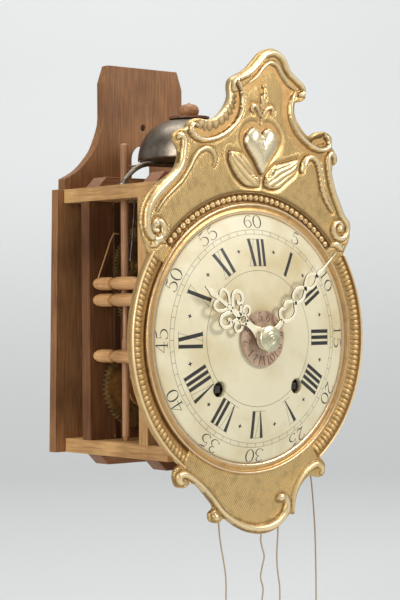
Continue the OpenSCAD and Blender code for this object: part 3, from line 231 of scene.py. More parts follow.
def cord_tube(name, points, body, sides=10):
    tube = bmesh.new()
    uv_layer = tube.loops.layers.uv.new("UVMap")
    path = [Vector(q) for q in points]
    length = 0.0
    rings, spots = [], []
    side = Vector((0.36, 0.93, 0.02))
    for i, spot in enumerate(path):
        ahead = (path[min(i + 1, len(path) - 1)] - path[max(i - 1, 0)]).normalized()
        side = (side - ahead * side.dot(ahead)).normalized()
        turn = Matrix((side, ahead.cross(side), ahead)).transposed().to_4x4()
        circle = bmesh.ops.create_circle(tube, segments=sides, radius=cord_thickness / 2,
                                         matrix=Matrix.Translation(spot) @ turn)
        rings.append(circle["verts"])
        length += (path[i] - path[i - 1]).length if i else 0.0
        spots.append(length)
    turn_length = cord_thickness * 2.6
    for i in range(len(rings) - 1):
        for k in range(sides):
            face = tube.faces.new((rings[i][k], rings[i][(k + 1) % sides],
                                   rings[i + 1][(k + 1) % sides], rings[i + 1][k]))
            face.smooth = True
            along = (spots[i], spots[i], spots[i + 1], spots[i + 1])
            around = (k, k + 1, k + 1, k)
            for corner, u, v in zip(face.loops, along, around):
                corner[uv_layer].uv = (v / sides, u / turn_length)
    tube.faces.new(list(reversed(rings[0])))
    tube.faces.new(rings[-1])
    bmesh.ops.recalc_face_normals(tube, faces=tube.faces)
    piece = as_piece(name, tube, cord_look)
    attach(piece, body)
    return piece, length


going_points = [(25.1, 73, -36), (25.1, 73, -52), (25.1, 73, -66), (25.1, 73, -84), (24.8, 73, -102),
                (24.4, 73, -120), (24, 73, -138), (24.8, 72.9, -152), (26.6, 72.8, -163), (28.8, 72.6, -174),
                (30.4, 72.4, -184), (30.6, 72, -194), (29.6, 71, -204), (29.4, 69, -214), (31.6, 65.6, -222),
                (36, 61.6, -227), (41, 57.6, -226), (45.8, 54.4, -219), (48.6, 52.8, -210), (50.4, 52, -201),
                (51, 52, -194), (48.6, 52, -186), (50.2, 52, -178), (52.5, 52, -170), (50.8, 52, -164),
                (49, 52, -157), (50, 52, -150), (51.2, 52, -143), (50.6, 52, -132), (50, 52, -118),
                (49.6, 52, -104), (50, 52, -90), (50, 52, -78), (50, 52, -73)]
drum_x, drum_z = 37.5, -36
wrap = [(drum_x + 12.45 * math.cos(a), 73, drum_z + 12.45 * math.sin(a))
        for a in np.radians([90, 112.5, 135, 157.5])]
going_line = [clock_point(*q) for q in rounded(wrap + going_points, 4)]
going_rope, going_length = cord_tube("going_rope", going_line, "case")
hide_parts("going_cord")
alarm_points = [(42.6, -204), (42.6, -196), (42.4, -188), (41, -180), (39.8, -170), (40, -160), (41, -148),
                (41.3, -136), (41.6, -120), (42.2, -104), (42.8, -88), (43, -72), (43, -56), (43, -30), (43, 0),
                (43, 24)]
alarm_points += [(57.5 + 14.5 * math.cos(a), 45 + 14.5 * math.sin(a)) for a in np.radians(np.arange(180, -1, -22.5))]
alarm_points += [(72, 24), (72, 0), (72, -30), (72, -56), (72, -80), (72.6, -90), (74.4, -101), (76.6, -114),
                 (78.4, -132), (79.7, -150), (80.2, -168), (80.4, -184), (80.4, -194), (80.4, -204)]
alarm_line = [clock_point(x, 23.5, z) for x, z in rounded(alarm_points, 4)]
alarm_rope, alarm_length = cord_tube("alarm_rope", alarm_line, "case")
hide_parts("alarm_cord")
drum_turn_count, steps_per_turn, turn_pitch = 9, 32, 1.7
turn_line = []
for n in range(drum_turn_count * steps_per_turn + 1):
    a = math.radians(90 - 360 * n / steps_per_turn)
    turn_line.append(clock_point(drum_x + 12.2 * math.cos(a), 70 - turn_pitch * n / steps_per_turn,
                                 drum_z + 12.2 * math.sin(a)))
drum_turns, _ = cord_tube("drum_turns", turn_line, "going_barrel", 8)
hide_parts("going_cord_turns")


# The case: beech boards and bars, pegged and nailed, darkened by smoke and oil.
# The plates, front posts and front bars are tan and the back board deep red-brown; the rear uprights and rear bars
# take a much darker copy of the same beech, painted shade inside the case.
def aged_beech(name, light, dark, along, rough=0.5):
    look = new_finish(name)
    place = own_place(look)
    fibres = [22 if axis == along else 480 for axis in range(3)]
    stretch = finish_step(look, "Mapping", {"Vector": place, "Scale": fibres}).outputs["Vector"]
    grain = finish_step(look, "TexNoise", {"Vector": stretch, "Scale": 1.6, "Detail": 6,
                                           "Roughness": 0.62}).outputs["Fac"]
    stain = finish_step(look, "TexNoise", {"Vector": place, "Scale": 22, "Detail": 4}).outputs["Fac"]
    tone = ramp(look, grain, (0.3, dark), (0.68, light))
    smoke = ramp(look, stain, (0.32, (0.42, 0.34, 0.28)), (0.6, (1, 1, 1)))
    return finish_with(look, {"Base Color": blend(look, 0.7, tone, smoke, "MULTIPLY"), "Roughness": rough,
                              "Specular IOR Level": 0.3, "Normal": relief(look, grain, 0.25, 0.0004)})


tan = (0.70, 0.42, 0.17)
tan_dark = (0.42, 0.22, 0.08)
brown = (0.37, 0.175, 0.068)
brown_dark = (0.19, 0.08, 0.03)
plate_wood = aged_beech("plate_beech", tan, tan_dark, 1)
post_wood = aged_beech("post_beech", tan, tan_dark, 2)
board_wood = aged_beech("board_beech", brown, brown_dark, 2)
# the rear uprights and rear bars: the same beech painted much darker, painted shade inside the case
rear_wood_painted_shade = aged_beech("rear_beech_painted_shade", (0.22, 0.095, 0.036), (0.11, 0.042, 0.015), 2)
batten_wood = aged_beech("batten_beech", (0.36, 0.18, 0.09), (0.2, 0.09, 0.045), 0)
arbor_wood = aged_beech("turned_beech", (0.76, 0.44, 0.19), (0.48, 0.24, 0.09), 1, 0.38)


def eased(node, look, width=0.0006, body="case"):
    softened = bmesh.new()
    softened.from_mesh(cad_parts[node].data)
    bmesh.ops.remove_doubles(softened, verts=softened.verts, dist=1e-6)
    bmesh.ops.dissolve_limit(softened, angle_limit=0.005, verts=softened.verts, edges=softened.edges)
    piece = as_piece(node + "_eased", softened)
    piece.data.materials.clear()
    piece.data.materials.append(look)
    round_over = piece.modifiers.new("round_over", "BEVEL")
    round_over.width = width
    round_over.segments = 2
    round_over.limit_method = "ANGLE"
    round_over.angle_limit = math.radians(40)
    round_over.harden_normals = True
    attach(piece, body)
    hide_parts(node)


for node, look in (("back_board", board_wood), ("top_plate", plate_wood), ("bottom_plate", plate_wood),
                   ("battens", batten_wood), ("front_uprights", post_wood), ("rear_uprights", rear_wood_painted_shade),
                   ("front_train_bars", post_wood), ("rear_train_bars", rear_wood_painted_shade), ("centre_rail", plate_wood)):
    eased(node, look)


# Movement parts that keep their own solids: wheels, arbors, levers, hammers and drums.
# The wheels are cast brass gone dull, the wires are iron, the arbors are turned beech.
def dull_metal(name, colour, tarnish, metal, rough, grit=120):
    look = new_finish(name)
    spots = finish_step(look, "TexNoise", {"Vector": own_place(look), "Scale": grit, "Detail": 5,
                                           "Roughness": 0.6}).outputs["Fac"]
    gloss = finish_step(look, "MapRange", {"Value": spots, "To Min": rough + 0.14, "To Max": rough - 0.06})
    return finish_with(look, {"Base Color": ramp(look, spots, (0.35, tarnish), (0.62, colour)), "Metallic": metal,
                              "Roughness": gloss.outputs["Result"], "Normal": relief(look, spots, 0.12, 0.0003)})


def finish_node(node, look):
    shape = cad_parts[node]
    if not shape.data.materials:
        shape.data.materials.append(look)
    for slot in shape.material_slots:
        slot.material = look


wheel_brass = dull_metal("wheel_brass", (0.50, 0.34, 0.13), (0.22, 0.14, 0.06), 0.9, 0.42)
wire_iron = dull_metal("wire_iron", (0.20, 0.19, 0.18), (0.09, 0.06, 0.045), 0.85, 0.45)
# the winding arbors are made near black so the keyholes read dark: painted shade in the keyholes
keyhole_shade_steel = dull_metal("keyhole_shade_steel", (0.16, 0.15, 0.14), (0.05, 0.045, 0.04), 1.0, 0.26)
for node in ("pivot_bushes", "going_great_wheel", "strike_great_wheel", "going_second_wheel", "going_third_wheel",
             "escape_wheel", "pin_wheel", "hoop_wheel", "warning_wheel", "fly", "minute_pipe", "change_wheel",
             "hour_pipe"):
    finish_node(node, wheel_brass)
for node in ("hammer_spring", "going_click", "strike_click", "anchor", "crutch", "alarm_hammer", "alarm_hooks",
             "motion_studs"):
    finish_node(node, wire_iron)
for node in ("going_winding_arbor", "strike_winding_arbor"):
    finish_node(node, keyhole_shade_steel)
for node in ("lifting_lever", "warning_lever", "locking_lever", "alarm_pulley", "going_drum", "strike_drum"):
    finish_node(node, arbor_wood)
hammer_wood = aged_beech("hammer_beech", (0.58, 0.32, 0.16), (0.34, 0.16, 0.075), 2, 0.4)
finish_node("hammer_arbor", hammer_wood)


# The bell: cast and turned bell metal under a century of dark patina, on an iron stand,
# held down by a wooden washer and a flattened wooden knob.
def lathe(name, line, centre, axis, look, body, steps=96):
    spun = bmesh.new()
    side = [spun.verts.new(clock_point(*q)) for q in line]
    edges = [spun.edges.new(pair) for pair in zip(side, side[1:] + side[:1])]
    bmesh.ops.spin(spun, geom=side + edges, cent=clock_point(*centre), axis=axis, angle=2 * math.pi,
                   steps=steps, use_merge=True)
    bmesh.ops.remove_doubles(spun, verts=spun.verts, dist=2e-6)
    smooth_out(spun)
    piece = as_piece(name, spun, look)
    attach(piece, body)
    return piece


bell_y, bell_rim_z, bell_bore = 76, 135, 2.0
bell_patina = dull_metal("bell_patina", (0.30, 0.25, 0.19), (0.13, 0.105, 0.08), 0.9, 0.36, 70)


def bell_side(radius, height, angles):
    return [(max(radius * math.cos(math.radians(a)) ** 0.72, bell_bore), bell_y,
             bell_rim_z + height * math.sin(math.radians(a))) for a in angles]


bell_axis = (0, bell_y, 140)
bell_line = bell_side(39.5, 32, range(0, 91, 3)) + bell_side(37.9, 30.4, range(87, -1, -3))
cast_bell = lathe("cast_bell", bell_line, bell_axis, (0, 0, 1), bell_patina, "case")
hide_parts("bell")
finish_node("bell_stand", bell_patina)
knob_wood = aged_beech("knob_beech", (0.55, 0.29, 0.13), (0.33, 0.155, 0.065), 0, 0.35)
finish_node("bell_washer", batten_wood)
knob_side = [(0.001, 179.6), (1.1, 179.55), (1.2, 178.6), (3.4, 178.5), (5.6, 177.7), (7.1, 176), (7.7, 173.9),
             (7.5, 171.9), (6.6, 170.1), (5.2, 169.1), (3.4, 168.85), (0.001, 168.85)]
knob_line = [(r, bell_y, z) for r, z in knob_side]
turned_bell_knob = lathe("turned_bell_knob", knob_line, bell_axis, (0, 0, 1), knob_wood, "case", 48)
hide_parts("bell_knob")


# The gilding: water-gilt leaf over red clay, burnished on the ridges and dull in the hollows.
# One mark darkens what lies deep, grime and painted shade together; another lays the pale burnish on what stands
# proud, wear and a painted highlight together;
# and field marks the ground that is tooled with slanting lines.
def gold_leaf(name, gold=(0.86, 0.60, 0.26), pale=(1.0, 0.87, 0.60), deep=(0.13, 0.06, 0.014), rough=0.36):
    look = new_finish(name)

    def worn(attribute, full, gain):
        mark = finish_step(look, "Attribute", attribute_name=attribute).outputs["Fac"]
        return finish_step(look, "MapRange", {"Value": mark, "From Max": full, "To Max": gain}).outputs["Result"]

    place = own_place(look)
    mottle = finish_step(look, "TexNoise", {"Vector": place, "Scale": 120, "Detail": 7,
                                            "Roughness": 0.68}).outputs["Fac"]
    clay_shows = [0.55 * g + 0.45 * d for g, d in zip(gold, deep)]
    leaf = ramp(look, mottle, (0.28, clay_shows), (0.52, gold))
    slant = finish_step(look, "Mapping", {"Vector": place, "Rotation": (0, math.radians(32), 0)}).outputs["Vector"]
    lines = finish_step(look, "TexWave", {"Vector": slant, "Scale": 200, "Distortion": 3.5, "Detail": 3,
                                          "Detail Scale": 1.4}, bands_direction="X").outputs["Fac"]
    cut = finish_step(look, "Math", {0: lines, 1: -0.62, 2: 0.48}, operation="MULTIPLY_ADD").outputs[0]
    tooled = finish_step(look, "Math", {0: cut, 1: worn("field", 1.0, 1.0)}, operation="MULTIPLY").outputs[0]
    # the tooled cuts in the field are painted darker: painted shade in the cuts
    furrow = blend(look, tooled, leaf, (*[0.42 * g + 0.2 * d for g, d in zip(gold, deep)], 1))
    burnish_and_highlight_colour = blend(look, worn("wear", 1.0, 0.85), furrow, (*pale, 1))
    colour = blend(look, worn("dirt", 0.66, 0.95), burnish_and_highlight_colour, (*deep, 1))
    gloss = finish_step(look, "MapRange", {"Value": mottle, "To Min": rough + 0.16, "To Max": rough - 0.08})
    burnish_and_highlight = finish_step(look, "Math", {0: gloss.outputs["Result"], 1: worn("wear", 1.0, 0.12)},
                         operation="SUBTRACT").outputs[0]
    punched = finish_step(look, "TexVoronoi", {"Vector": place, "Scale": 1400}).outputs["Distance"]
    tooling = relief(look, tooled, 0.8, 0.0006, invert=True)
    dents = relief(look, punched, 0.3, 0.0002, tooling)
    return finish_with(look, {"Base Color": colour, "Metallic": 0.8, "Roughness": burnish_and_highlight,
                              "Normal": relief(look, mottle, 0.35, 0.0006, dents)})


leaf_gold = gold_leaf("leaf_gold")
edge_gold = gold_leaf("edge_gold", gold=(0.62, 0.38, 0.15))
bare_wood = finish_step(edge_gold, "BsdfPrincipled", {"Base Color": (0.36, 0.22, 0.11, 1), "Roughness": 0.7})
depth = finish_step(edge_gold, "SeparateXYZ", {"Vector": own_place(edge_gold)}).outputs["Y"]
board_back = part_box("shield_board")[1][1]
behind = finish_step(edge_gold, "Math", {0: depth, 1: board_back - 0.0004}, operation="GREATER_THAN").outputs[0]
gilt = edge_gold.node_tree.nodes["Principled BSDF"]
either = finish_step(edge_gold, "MixShader", {0: behind, 1: gilt.outputs["BSDF"], 2: bare_wood.outputs["BSDF"]})
set_inputs(edge_gold, edge_gold.node_tree.nodes["Material Output"], {"Surface": either.outputs["Shader"]})
finish_node("shield_board", edge_gold)
finish_node("shield_pins", gold_leaf("pin_gold", gold=(0.56, 0.36, 0.16), rough=0.3))


# The carved crest and apron: one lime board each side of the dial, cut in relief, gessoed and gilt.
# Each is drawn as a sheet over the board whose depth follows the carved ridges.
def nearest(points, line):
    best = np.full(len(points), 1e9)
    where = np.zeros(len(points))
    side = np.zeros(len(points))
    for i in range(len(line) - 1):
        a, b = line[i][:2], line[i + 1][:2]
        ab = b - a
        t = np.clip(((points - a) @ ab) / max(ab @ ab, 1e-9), 0, 1)
        off = points - (a + t[:, None] * ab)
        d = np.hypot(off[:, 0], off[:, 1])
        closer = d < best
        best[closer] = d[closer]
        where[closer] = (i + t[closer])
        side[closer] = np.sign(ab[0] * off[closer, 1] - ab[1] * off[closer, 0])
    return best, where, side


def inside_of(points, outline):
    odd = np.zeros(len(points), bool)
    x, z = points[:, 0], points[:, 1]
    for (ax, az), (bx, bz) in zip(outline, np.roll(outline, -1, axis=0)):
        crosses = (az > z) != (bz > z)
        if az != bz:
            odd ^= crosses & (x < (bx - ax) * (z - az) / (bz - az) + ax)
    return odd


def grown_outline(outline, by):
    ahead = np.roll(outline, -1, axis=0) - np.roll(outline, 1, axis=0)
    normal = np.stack([ahead[:, 1], -ahead[:, 0]], axis=1)
    return outline + by * normal / np.maximum(np.hypot(*normal.T), 1e-9)[:, None]


class Carving:
    def __init__(self, points):
        self.points = points
        self.height = np.zeros(len(points))
        self.dirt = np.zeros(len(points))
        self.wear = np.zeros(len(points))
        self.field = np.ones(len(points))

    def ridge(self, line, rise, power=0.5, burnish_and_highlight=0.0, moat=0.0, steps=6, flat=0.0):
        p = np.array(rounded(line, steps))
        d, where, _ = nearest(self.points, p)
        i = np.clip(where.astype(int), 0, len(p) - 2)
        f = where - i
        w = np.maximum(p[i, 2] * (1 - f) + p[i + 1, 2] * f, 0.25)
        u = d / w
        full = rise * np.minimum(w / p[:, 2].max(), 1.0) ** 0.6
        body = full * np.clip(1 - np.clip((u - flat) / (1 - flat), 0, 1) ** 2, 0, 1) ** power
        # beside each ridge a band is painted dark, grime and painted shade at its foot, and the ridge top is painted
        # pale, wear and a painted highlight
        if moat:
            self.height -= np.where(u > 1, moat * np.exp(-((d - w - 0.5) / 1.1) ** 2), 0)
            grime_and_shade_band = 0.85 * np.exp(-((d - w - 0.1) / 0.9) ** 2) * min(moat, 1)
            self.dirt = np.maximum(self.dirt, np.where(u > 0.9, grime_and_shade_band, 0))
        self.height = np.maximum(self.height, np.where(u < 1, body, -9))
        self.wear = np.maximum(self.wear, burnish_and_highlight * np.clip(1 - (u / 0.75) ** 2, 0, 1))
        self.dirt = np.where(u < 0.8, self.dirt * 0.15, self.dirt)
        self.field = np.where(u < 1.15, 0.0, self.field)

    def lay(self, on, **amounts):
        for mark, amount in amounts.items():
            setattr(self, mark, np.where(on, amount, getattr(self, mark)))

    def boss(self, centre, size, rise, burnish_and_highlight, moat):
        self.ridge([(*centre, size), (centre[0] + 0.3, centre[1], size)], rise, 0.5, burnish_and_highlight, moat)


carved_ground_y, carved_back_y = 5.35, 9.45


def carved_sheet(name, outline, cut, step=0.75):
    outline = grown_outline(np.array(outline, float), 0.25)
    low, high = outline.min(0) - step, outline.max(0) + step
    count = np.ceil((high - low) / step).astype(int)
    centre, span = (low + high) / 2, count * step / 2
    placed = Matrix.Translation((centre[0], centre[1], 0)) @ Matrix.Diagonal((span[0], span[1], 1, 1))
    sheet = bmesh.new()
    bmesh.ops.create_grid(sheet, x_segments=int(count[0]), y_segments=int(count[1]), size=1.0, matrix=placed)
    sheet.verts.ensure_lookup_table()
    for vert, keep in zip(sheet.verts, inside_of(np.array([(v.co.x, v.co.y) for v in sheet.verts]), outline)):
        vert.tag = bool(keep)
    bmesh.ops.delete(sheet, geom=[f for f in sheet.faces if not any(v.tag for v in f.verts)], context="FACES")
    bmesh.ops.delete(sheet, geom=[v for v in sheet.verts if not v.link_faces], context="VERTS")
    # the outermost points of the grid are drawn in to the outline
    ring = np.vstack([outline, outline[:1]])
    outer = [v for v in sheet.verts if not v.tag]
    _, where, _ = nearest(np.array([(v.co.x, v.co.y) for v in outer]), ring)
    for vert, w in zip(outer, where):
        i = min(int(w), len(ring) - 2)
        vert.co.x, vert.co.y = ring[i] + (w - i) * (ring[i + 1] - ring[i])
    carving = Carving(np.array([(v.co.x, v.co.y) for v in sheet.verts]))
    rim, _, _ = nearest(carving.points, ring)
    cut(carving, rim)
    rolled = carving.height * np.sqrt(np.clip(1 - (1 - rim) ** 2, 0, 1)) - 0.35 * (1 - np.clip(rim, 0, 1))
    carving.height = np.where(rim < 1.0, rolled, carving.height)
    for mark, amounts in (("dirt", np.clip(carving.dirt, 0, 1)), ("wear", np.clip(carving.wear, 0, 1)),
                          ("field", carving.field)):
        layer = sheet.verts.layers.float.new(mark)
        for vert, amount in zip(sheet.verts, amounts):
            vert[layer] = float(amount)
    for vert, height in zip(sheet.verts, carving.height):
        vert.co = clock_point(vert.co.x, carved_ground_y - height, vert.co.y)
    # the edge of the sheet is carried back into the board and painted darker there: grime and painted shade
    grown = bmesh.ops.extrude_edge_only(sheet, edges=[e for e in sheet.edges if e.is_boundary])
    grime_and_shade_layer = sheet.verts.layers.float["dirt"]
    for vert in grown["geom"]:
        if isinstance(vert, bmesh.types.BMVert):
            vert.co.y = (carved_back_y - wall_y) * 0.001
            vert[grime_and_shade_layer] = 0.35
    smooth_out(sheet)
    piece = as_piece(name, sheet, leaf_gold)
    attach(piece, "case")
    return piece


def seat_arc(start, end, seat_radius=98.5):
    return [(seat_radius * math.cos(a), seat_radius * math.sin(a)) for a in np.radians(np.arange(start, end, -1.5))]


def volute(centre, r0, r1, start, sweep, w0, w1, n):
    line = []
    for i in range(n + 1):
        t = i / n
        r, a = r0 + (r1 - r0) * t, math.radians(start + sweep * t)
        line.append((centre[0] + r * math.cos(a), centre[1] + r * math.sin(a), w0 + (w1 - w0) * t))
    return line


crest_edge = [(93.5, 62), (97, 68), (101, 75), (101.5, 82), (99.5, 89), (94.5, 94), (88.7, 104.8), (84, 115.5),
              (83.3, 129.4), (87.4, 132.5), (88.8, 137), (86, 141.5), (82.8, 145.4), (82.3, 151.8), (75.9, 155.8),
              (67.3, 155), (58.8, 151.3), (50.3, 157), (43.7, 166.7), (44.2, 176.6), (50, 177.4), (55.6, 181),
              (55.8, 187), (51, 192.3), (41, 199.6), (35, 210), (23, 214.8), (12.5, 212), (5, 205.4), (-3, 197.8),
              (-12, 193.2), (-18.5, 189.4), (-20.3, 183.8), (-19.8, 176.5), (-24, 168.4), (-32, 160.8), (-41, 158),
              (-50, 158.6), (-57.5, 156), (-61, 150.8), (-67, 149.5), (-71.9, 145.5), (-70.5, 141), (-66.8, 134.8),
              (-67.8, 127.3), (-73, 119), (-85, 111.4), (-94.5, 103), (-100.3, 93.5), (-101.5, 84), (-99.5, 75),
              (-97, 68), (-93.5, 62)]
crest_outline = rounded(crest_edge, 3) + seat_arc(146.5, 33.4)
crest_rim = [(49, 181.5, 1), (53, 183.5, 2), (52, 188.5, 2.2), (45, 193.4, 2.3), (37.5, 199, 2.4), (32, 208, 2.4),
             (23, 211.8, 2.4), (14.2, 209, 2.4), (7, 202, 2.4), (-1.5, 195, 2.3), (-11, 190.6, 2.2),
             (-16.8, 186.8, 2), (-16.8, 182, 1.8), (-13.4, 181.2, 1)]
crest_inner = [(45, 185.5, 0.6), (38, 189.5, 1.5), (31.5, 196, 1.6), (26, 202.6, 1.6), (19, 204.2, 1.6),
               (12, 199.6, 1.6), (5.5, 192.6, 1.5), (-2, 187.5, 0.6)]
rocaille = [(-12.5, 188, 1.2), (-8.6, 180, 1.5), (-8.2, 171, 1.6), (-12, 161.5, 1.7), (-20, 153, 1.8),
            (-31, 146.8, 1.9), (-43, 143.8, 2), (-52.6, 145.4, 2.1), (-57.4, 150, 1.9), (-55, 154.6, 1.5),
            (-50.4, 153.2, 1.1)]
right_hollow = [(44.5, 184, 0.8), (41, 178.5, 1.6), (39.6, 171.5, 1.8), (41.2, 163, 1.9), (46.2, 154.6, 1.9),
                (53.5, 148.4, 2), (62.5, 143.6, 2.1), (71.4, 142, 2.1), (78, 144.4, 2.1), (79.6, 149.4, 2),
                (76, 152.6, 1.7)]
left_scroll = [(-68.8, 144.2, 1.6), (-66, 146, 2.2), (-63.2, 142.6, 2.4), (-63.4, 137, 2.6), (-64.4, 131, 2.8),
               (-66, 125, 3), (-72, 117.4, 3.3), (-81, 109.6, 3.6), (-90, 101.6, 3.5), (-95.4, 93.6, 3.2),
               (-97.4, 86, 2.9), (-97, 78.6, 2.7), (-93.8, 73.2, 2.6), (-88, 71.6, 2.6), (-83, 75.4, 2.6),
               (-83.3, 81.4, 2.5), (-87.8, 84.4, 2.3), (-91.6, 82.2, 2.1), (-91.6, 78.6, 2), (-88.6, 77.4, 2.1)]
left_vein = [(-35.6, 125.5, 0.9), (-34.2, 130.5, 1.5), (-36.2, 135.2, 1.9), (-41.6, 138, 2), (-48.3, 136, 1.9),
             (-54, 130.4, 1.8), (-59, 122.2, 1.6), (-66, 113.4, 1.4), (-74, 106.6, 1.3), (-82, 99.6, 1.2),
             (-88, 92, 0.9)]
right_scroll = ([(85, 133.5, 1.4), (84.8, 138, 2), (81.4, 140, 2.2), (78.2, 136, 2.3), (78.6, 128, 2.4),
                 (80.6, 119, 2.5), (84, 109.6, 2.6),
                 (89, 99.6, 2.7)] + volute((89.6, 82.6), 9.9, 3, 70, -470, 2.6, 1.5, 13))
right_fold = [(51, 125.6, 1.9), (52.6, 131, 2.6), (56.6, 135, 2.6), (63, 135.8, 2.3), (67.8, 130.6, 2.1),
              (70.4, 121.6, 2), (72, 112.6, 1.9), (76, 103.8, 1.6), (82.4, 95.6, 1.1)]
band_end = [(81.5, 69.5, 1), (86, 70.8, 2.4), (91, 67.8, 2.7), (93.2, 66.2, 0.8)]
pearl_radius, heart_x = 103.4, 9.6


def half_round(reach):
    return np.sqrt(np.clip(1 - (1 - np.clip(reach, 0, 1)) ** 2, 0, 1))


def cut_crest(c, rim):
    x, z = c.points[:, 0], c.points[:, 1]
    r = np.hypot(x, z)
    c.height += 0.5
    # groove that the row of pearls lies in
    from_top = np.abs(np.degrees(np.arctan2(z, x)) - 90)
    groove = (np.abs(r - pearl_radius) < 3.9) & (from_top < 49.5)
    c.lay(groove, height=-1.1, field=0.0)
    # the pearl groove and a band just outside the pearls are painted dark: grime and painted shade
    c.dirt = np.maximum(c.dirt, np.where(groove, 0.75, 0))
    c.dirt = np.maximum(c.dirt, 0.5 * np.exp(-((r - 108.2) / 1.3) ** 2) * (from_top < 50))
    # field sinks towards the frame of the crest and is painted darker where it sinks: grime and painted shade
    for line, reach, depth in ((crest_inner, 7.0, 1.3), (right_hollow[:8], 7.5, 2.0)):
        d, _, side = nearest(c.points, np.array(rounded(line, 4)))
        inner = side > 0 if line is crest_inner else side < 0
        sink = depth * np.exp(-(d / reach) ** 2) * inner
        c.height -= sink
        c.dirt = np.maximum(c.dirt, 0.62 * sink / depth * np.clip(1 - d / reach, 0, 1))
    # ribbed shell band outside the left ridge, painted darkest next to the ridge and between the ribs, grime and
    # painted shadow, and paler on the rib tops, wear and a painted highlight
    d, where, side = nearest(c.points, np.array(rounded(rocaille[1:8], 6)))
    shell = (side < 0) & (rim < 14) & (x < -8) & (z > 140) & (d < 16)
    spread = np.clip(d / np.maximum(d + rim, 0.5), 0, 1)
    ribs = np.abs(np.sin(where * 0.86 + 0.5 * spread))
    c.lay(shell, height=-1.6 + 3.6 * spread ** 1.6 + 1.1 * ribs * (0.3 + 0.7 * spread),
          dirt=np.clip(0.95 - 1.3 * spread + 0.35 * (1 - ribs), 0, 1), wear=0.5 * ribs * spread, field=0.0)
    # sloping leaf between the right ridge and the notch in the edge, painted darker down in its hollow: grime and
    # painted shade
    d, _, side = nearest(c.points, np.array(rounded(right_hollow[1:9], 6)))
    slope = (side > 0) & (rim < 13) & (x > 40) & (z > 141) & (z < 181)
    scoop = np.clip(d / np.maximum(d + rim, 0.5), 0, 1)
    hollow = np.sin(np.pi * scoop)
    c.lay(slope, height=2.2 - 2.6 * hollow * np.clip((x - 52) / 12, 0.25, 1),
          dirt=0.15 + 0.6 * hollow * np.clip((x - 52) / 12, 0.1, 1), field=0.0)
    c.ridge(crest_rim, 3.1, 0.5, 0.9, 0.6)
    c.ridge(crest_inner, 2.2, 0.5, 0.75, 0.4)
    c.ridge(rocaille, 3.6, 0.5, 1.0, 0.7)
    c.ridge(right_hollow, 3.4, 0.5, 1.0, 0.5)
    c.ridge([(52.5, 183.6, 2.4), (49.6, 182.6, 1.8)], 3.6, 0.5, 1.0, 0.8)
    # side scrolls
    c.ridge(left_vein, 2.0, 0.5, 0.55, 0.6)
    c.ridge(left_scroll, 3.2, 0.42, 0.85, 0.7, flat=0.15)
    c.ridge(right_fold, 3.2, 0.42, 0.6, 0.9)
    c.ridge([(51.2, 126.5, 1.9), (52.9, 130.5, 2.2), (56, 134, 1.6)], 3.9, 0.4, 1.0)
    c.ridge(right_scroll, 3.0, 0.42, 0.85, 0.7, flat=0.15)
    c.ridge(band_end, 2.6, 0.5, 0.8, 0.6)
    c.ridge([(-u, v, w) for u, v, w in band_end], 2.6, 0.5, 0.8, 0.6)
    for centre in ((-89.8, 82.4), (89.6, 82.6)):
        c.boss(centre, 2.9, 3.6, 1.0, 0.3)
    # two broad leaves below the heart, each grooved along its length; the grooves and a halo round each leaf are
    # painted dark, grime and painted shadow, and the ribs between the grooves paler, wear and a painted highlight
    left_leaf = ([(7, 111.6), (0, 111.2), (-6.4, 112), (-11.4, 115), (-15.8, 119), (-20, 125.6), (-22.4, 132),
                  (-21.2, 138)],
                 [(7, 111.6), (8.2, 116), (7.4, 121.4), (2.9, 128), (-3.2, 133.6), (-11.6, 136.6), (-21.2, 138)])
    right_leaf = ([(13, 111.6), (20, 110.2), (27.5, 111.4), (36.3, 117.4), (43, 122), (47, 128.5), (47.3, 134.8)],
                  [(13, 111.6), (12.6, 116), (14.6, 121.4), (21.4, 127.4), (27.5, 129.8), (33.9, 131.2),
                   (47.3, 134.8)])
    for lower, upper in (left_leaf, right_leaf):
        below, above = np.array(rounded(lower, 4)), np.array(rounded(upper, 4))
        on = inside_of(c.points, np.vstack([below, above[::-1]]))
        to_lower, to_upper = nearest(c.points, below)[0], nearest(c.points, above)[0]
        edge = np.minimum(to_lower, to_upper)
        veins = np.abs(np.sin(4 * np.pi * to_lower / np.maximum(to_lower + to_upper, 0.2)))
        swell = half_round(edge / 3.4)
        halo = ~on & (edge < 4) & (r > 108.5)
        c.lay(halo, height=c.height - 1.0 * np.exp(-(edge / 1.6) ** 2),
              dirt=np.maximum(c.dirt, 0.85 * np.exp(-(edge / 1.3) ** 2)), field=0.0)
        c.lay(on, height=np.maximum(c.height, 0.7 + 2.1 * swell - 0.7 * (1 - veins) ** 2 * swell),
              dirt=0.55 * (1 - veins) ** 3 + 0.3 * (edge < 0.8), wear=0.4 * veins * swell, field=0.0)
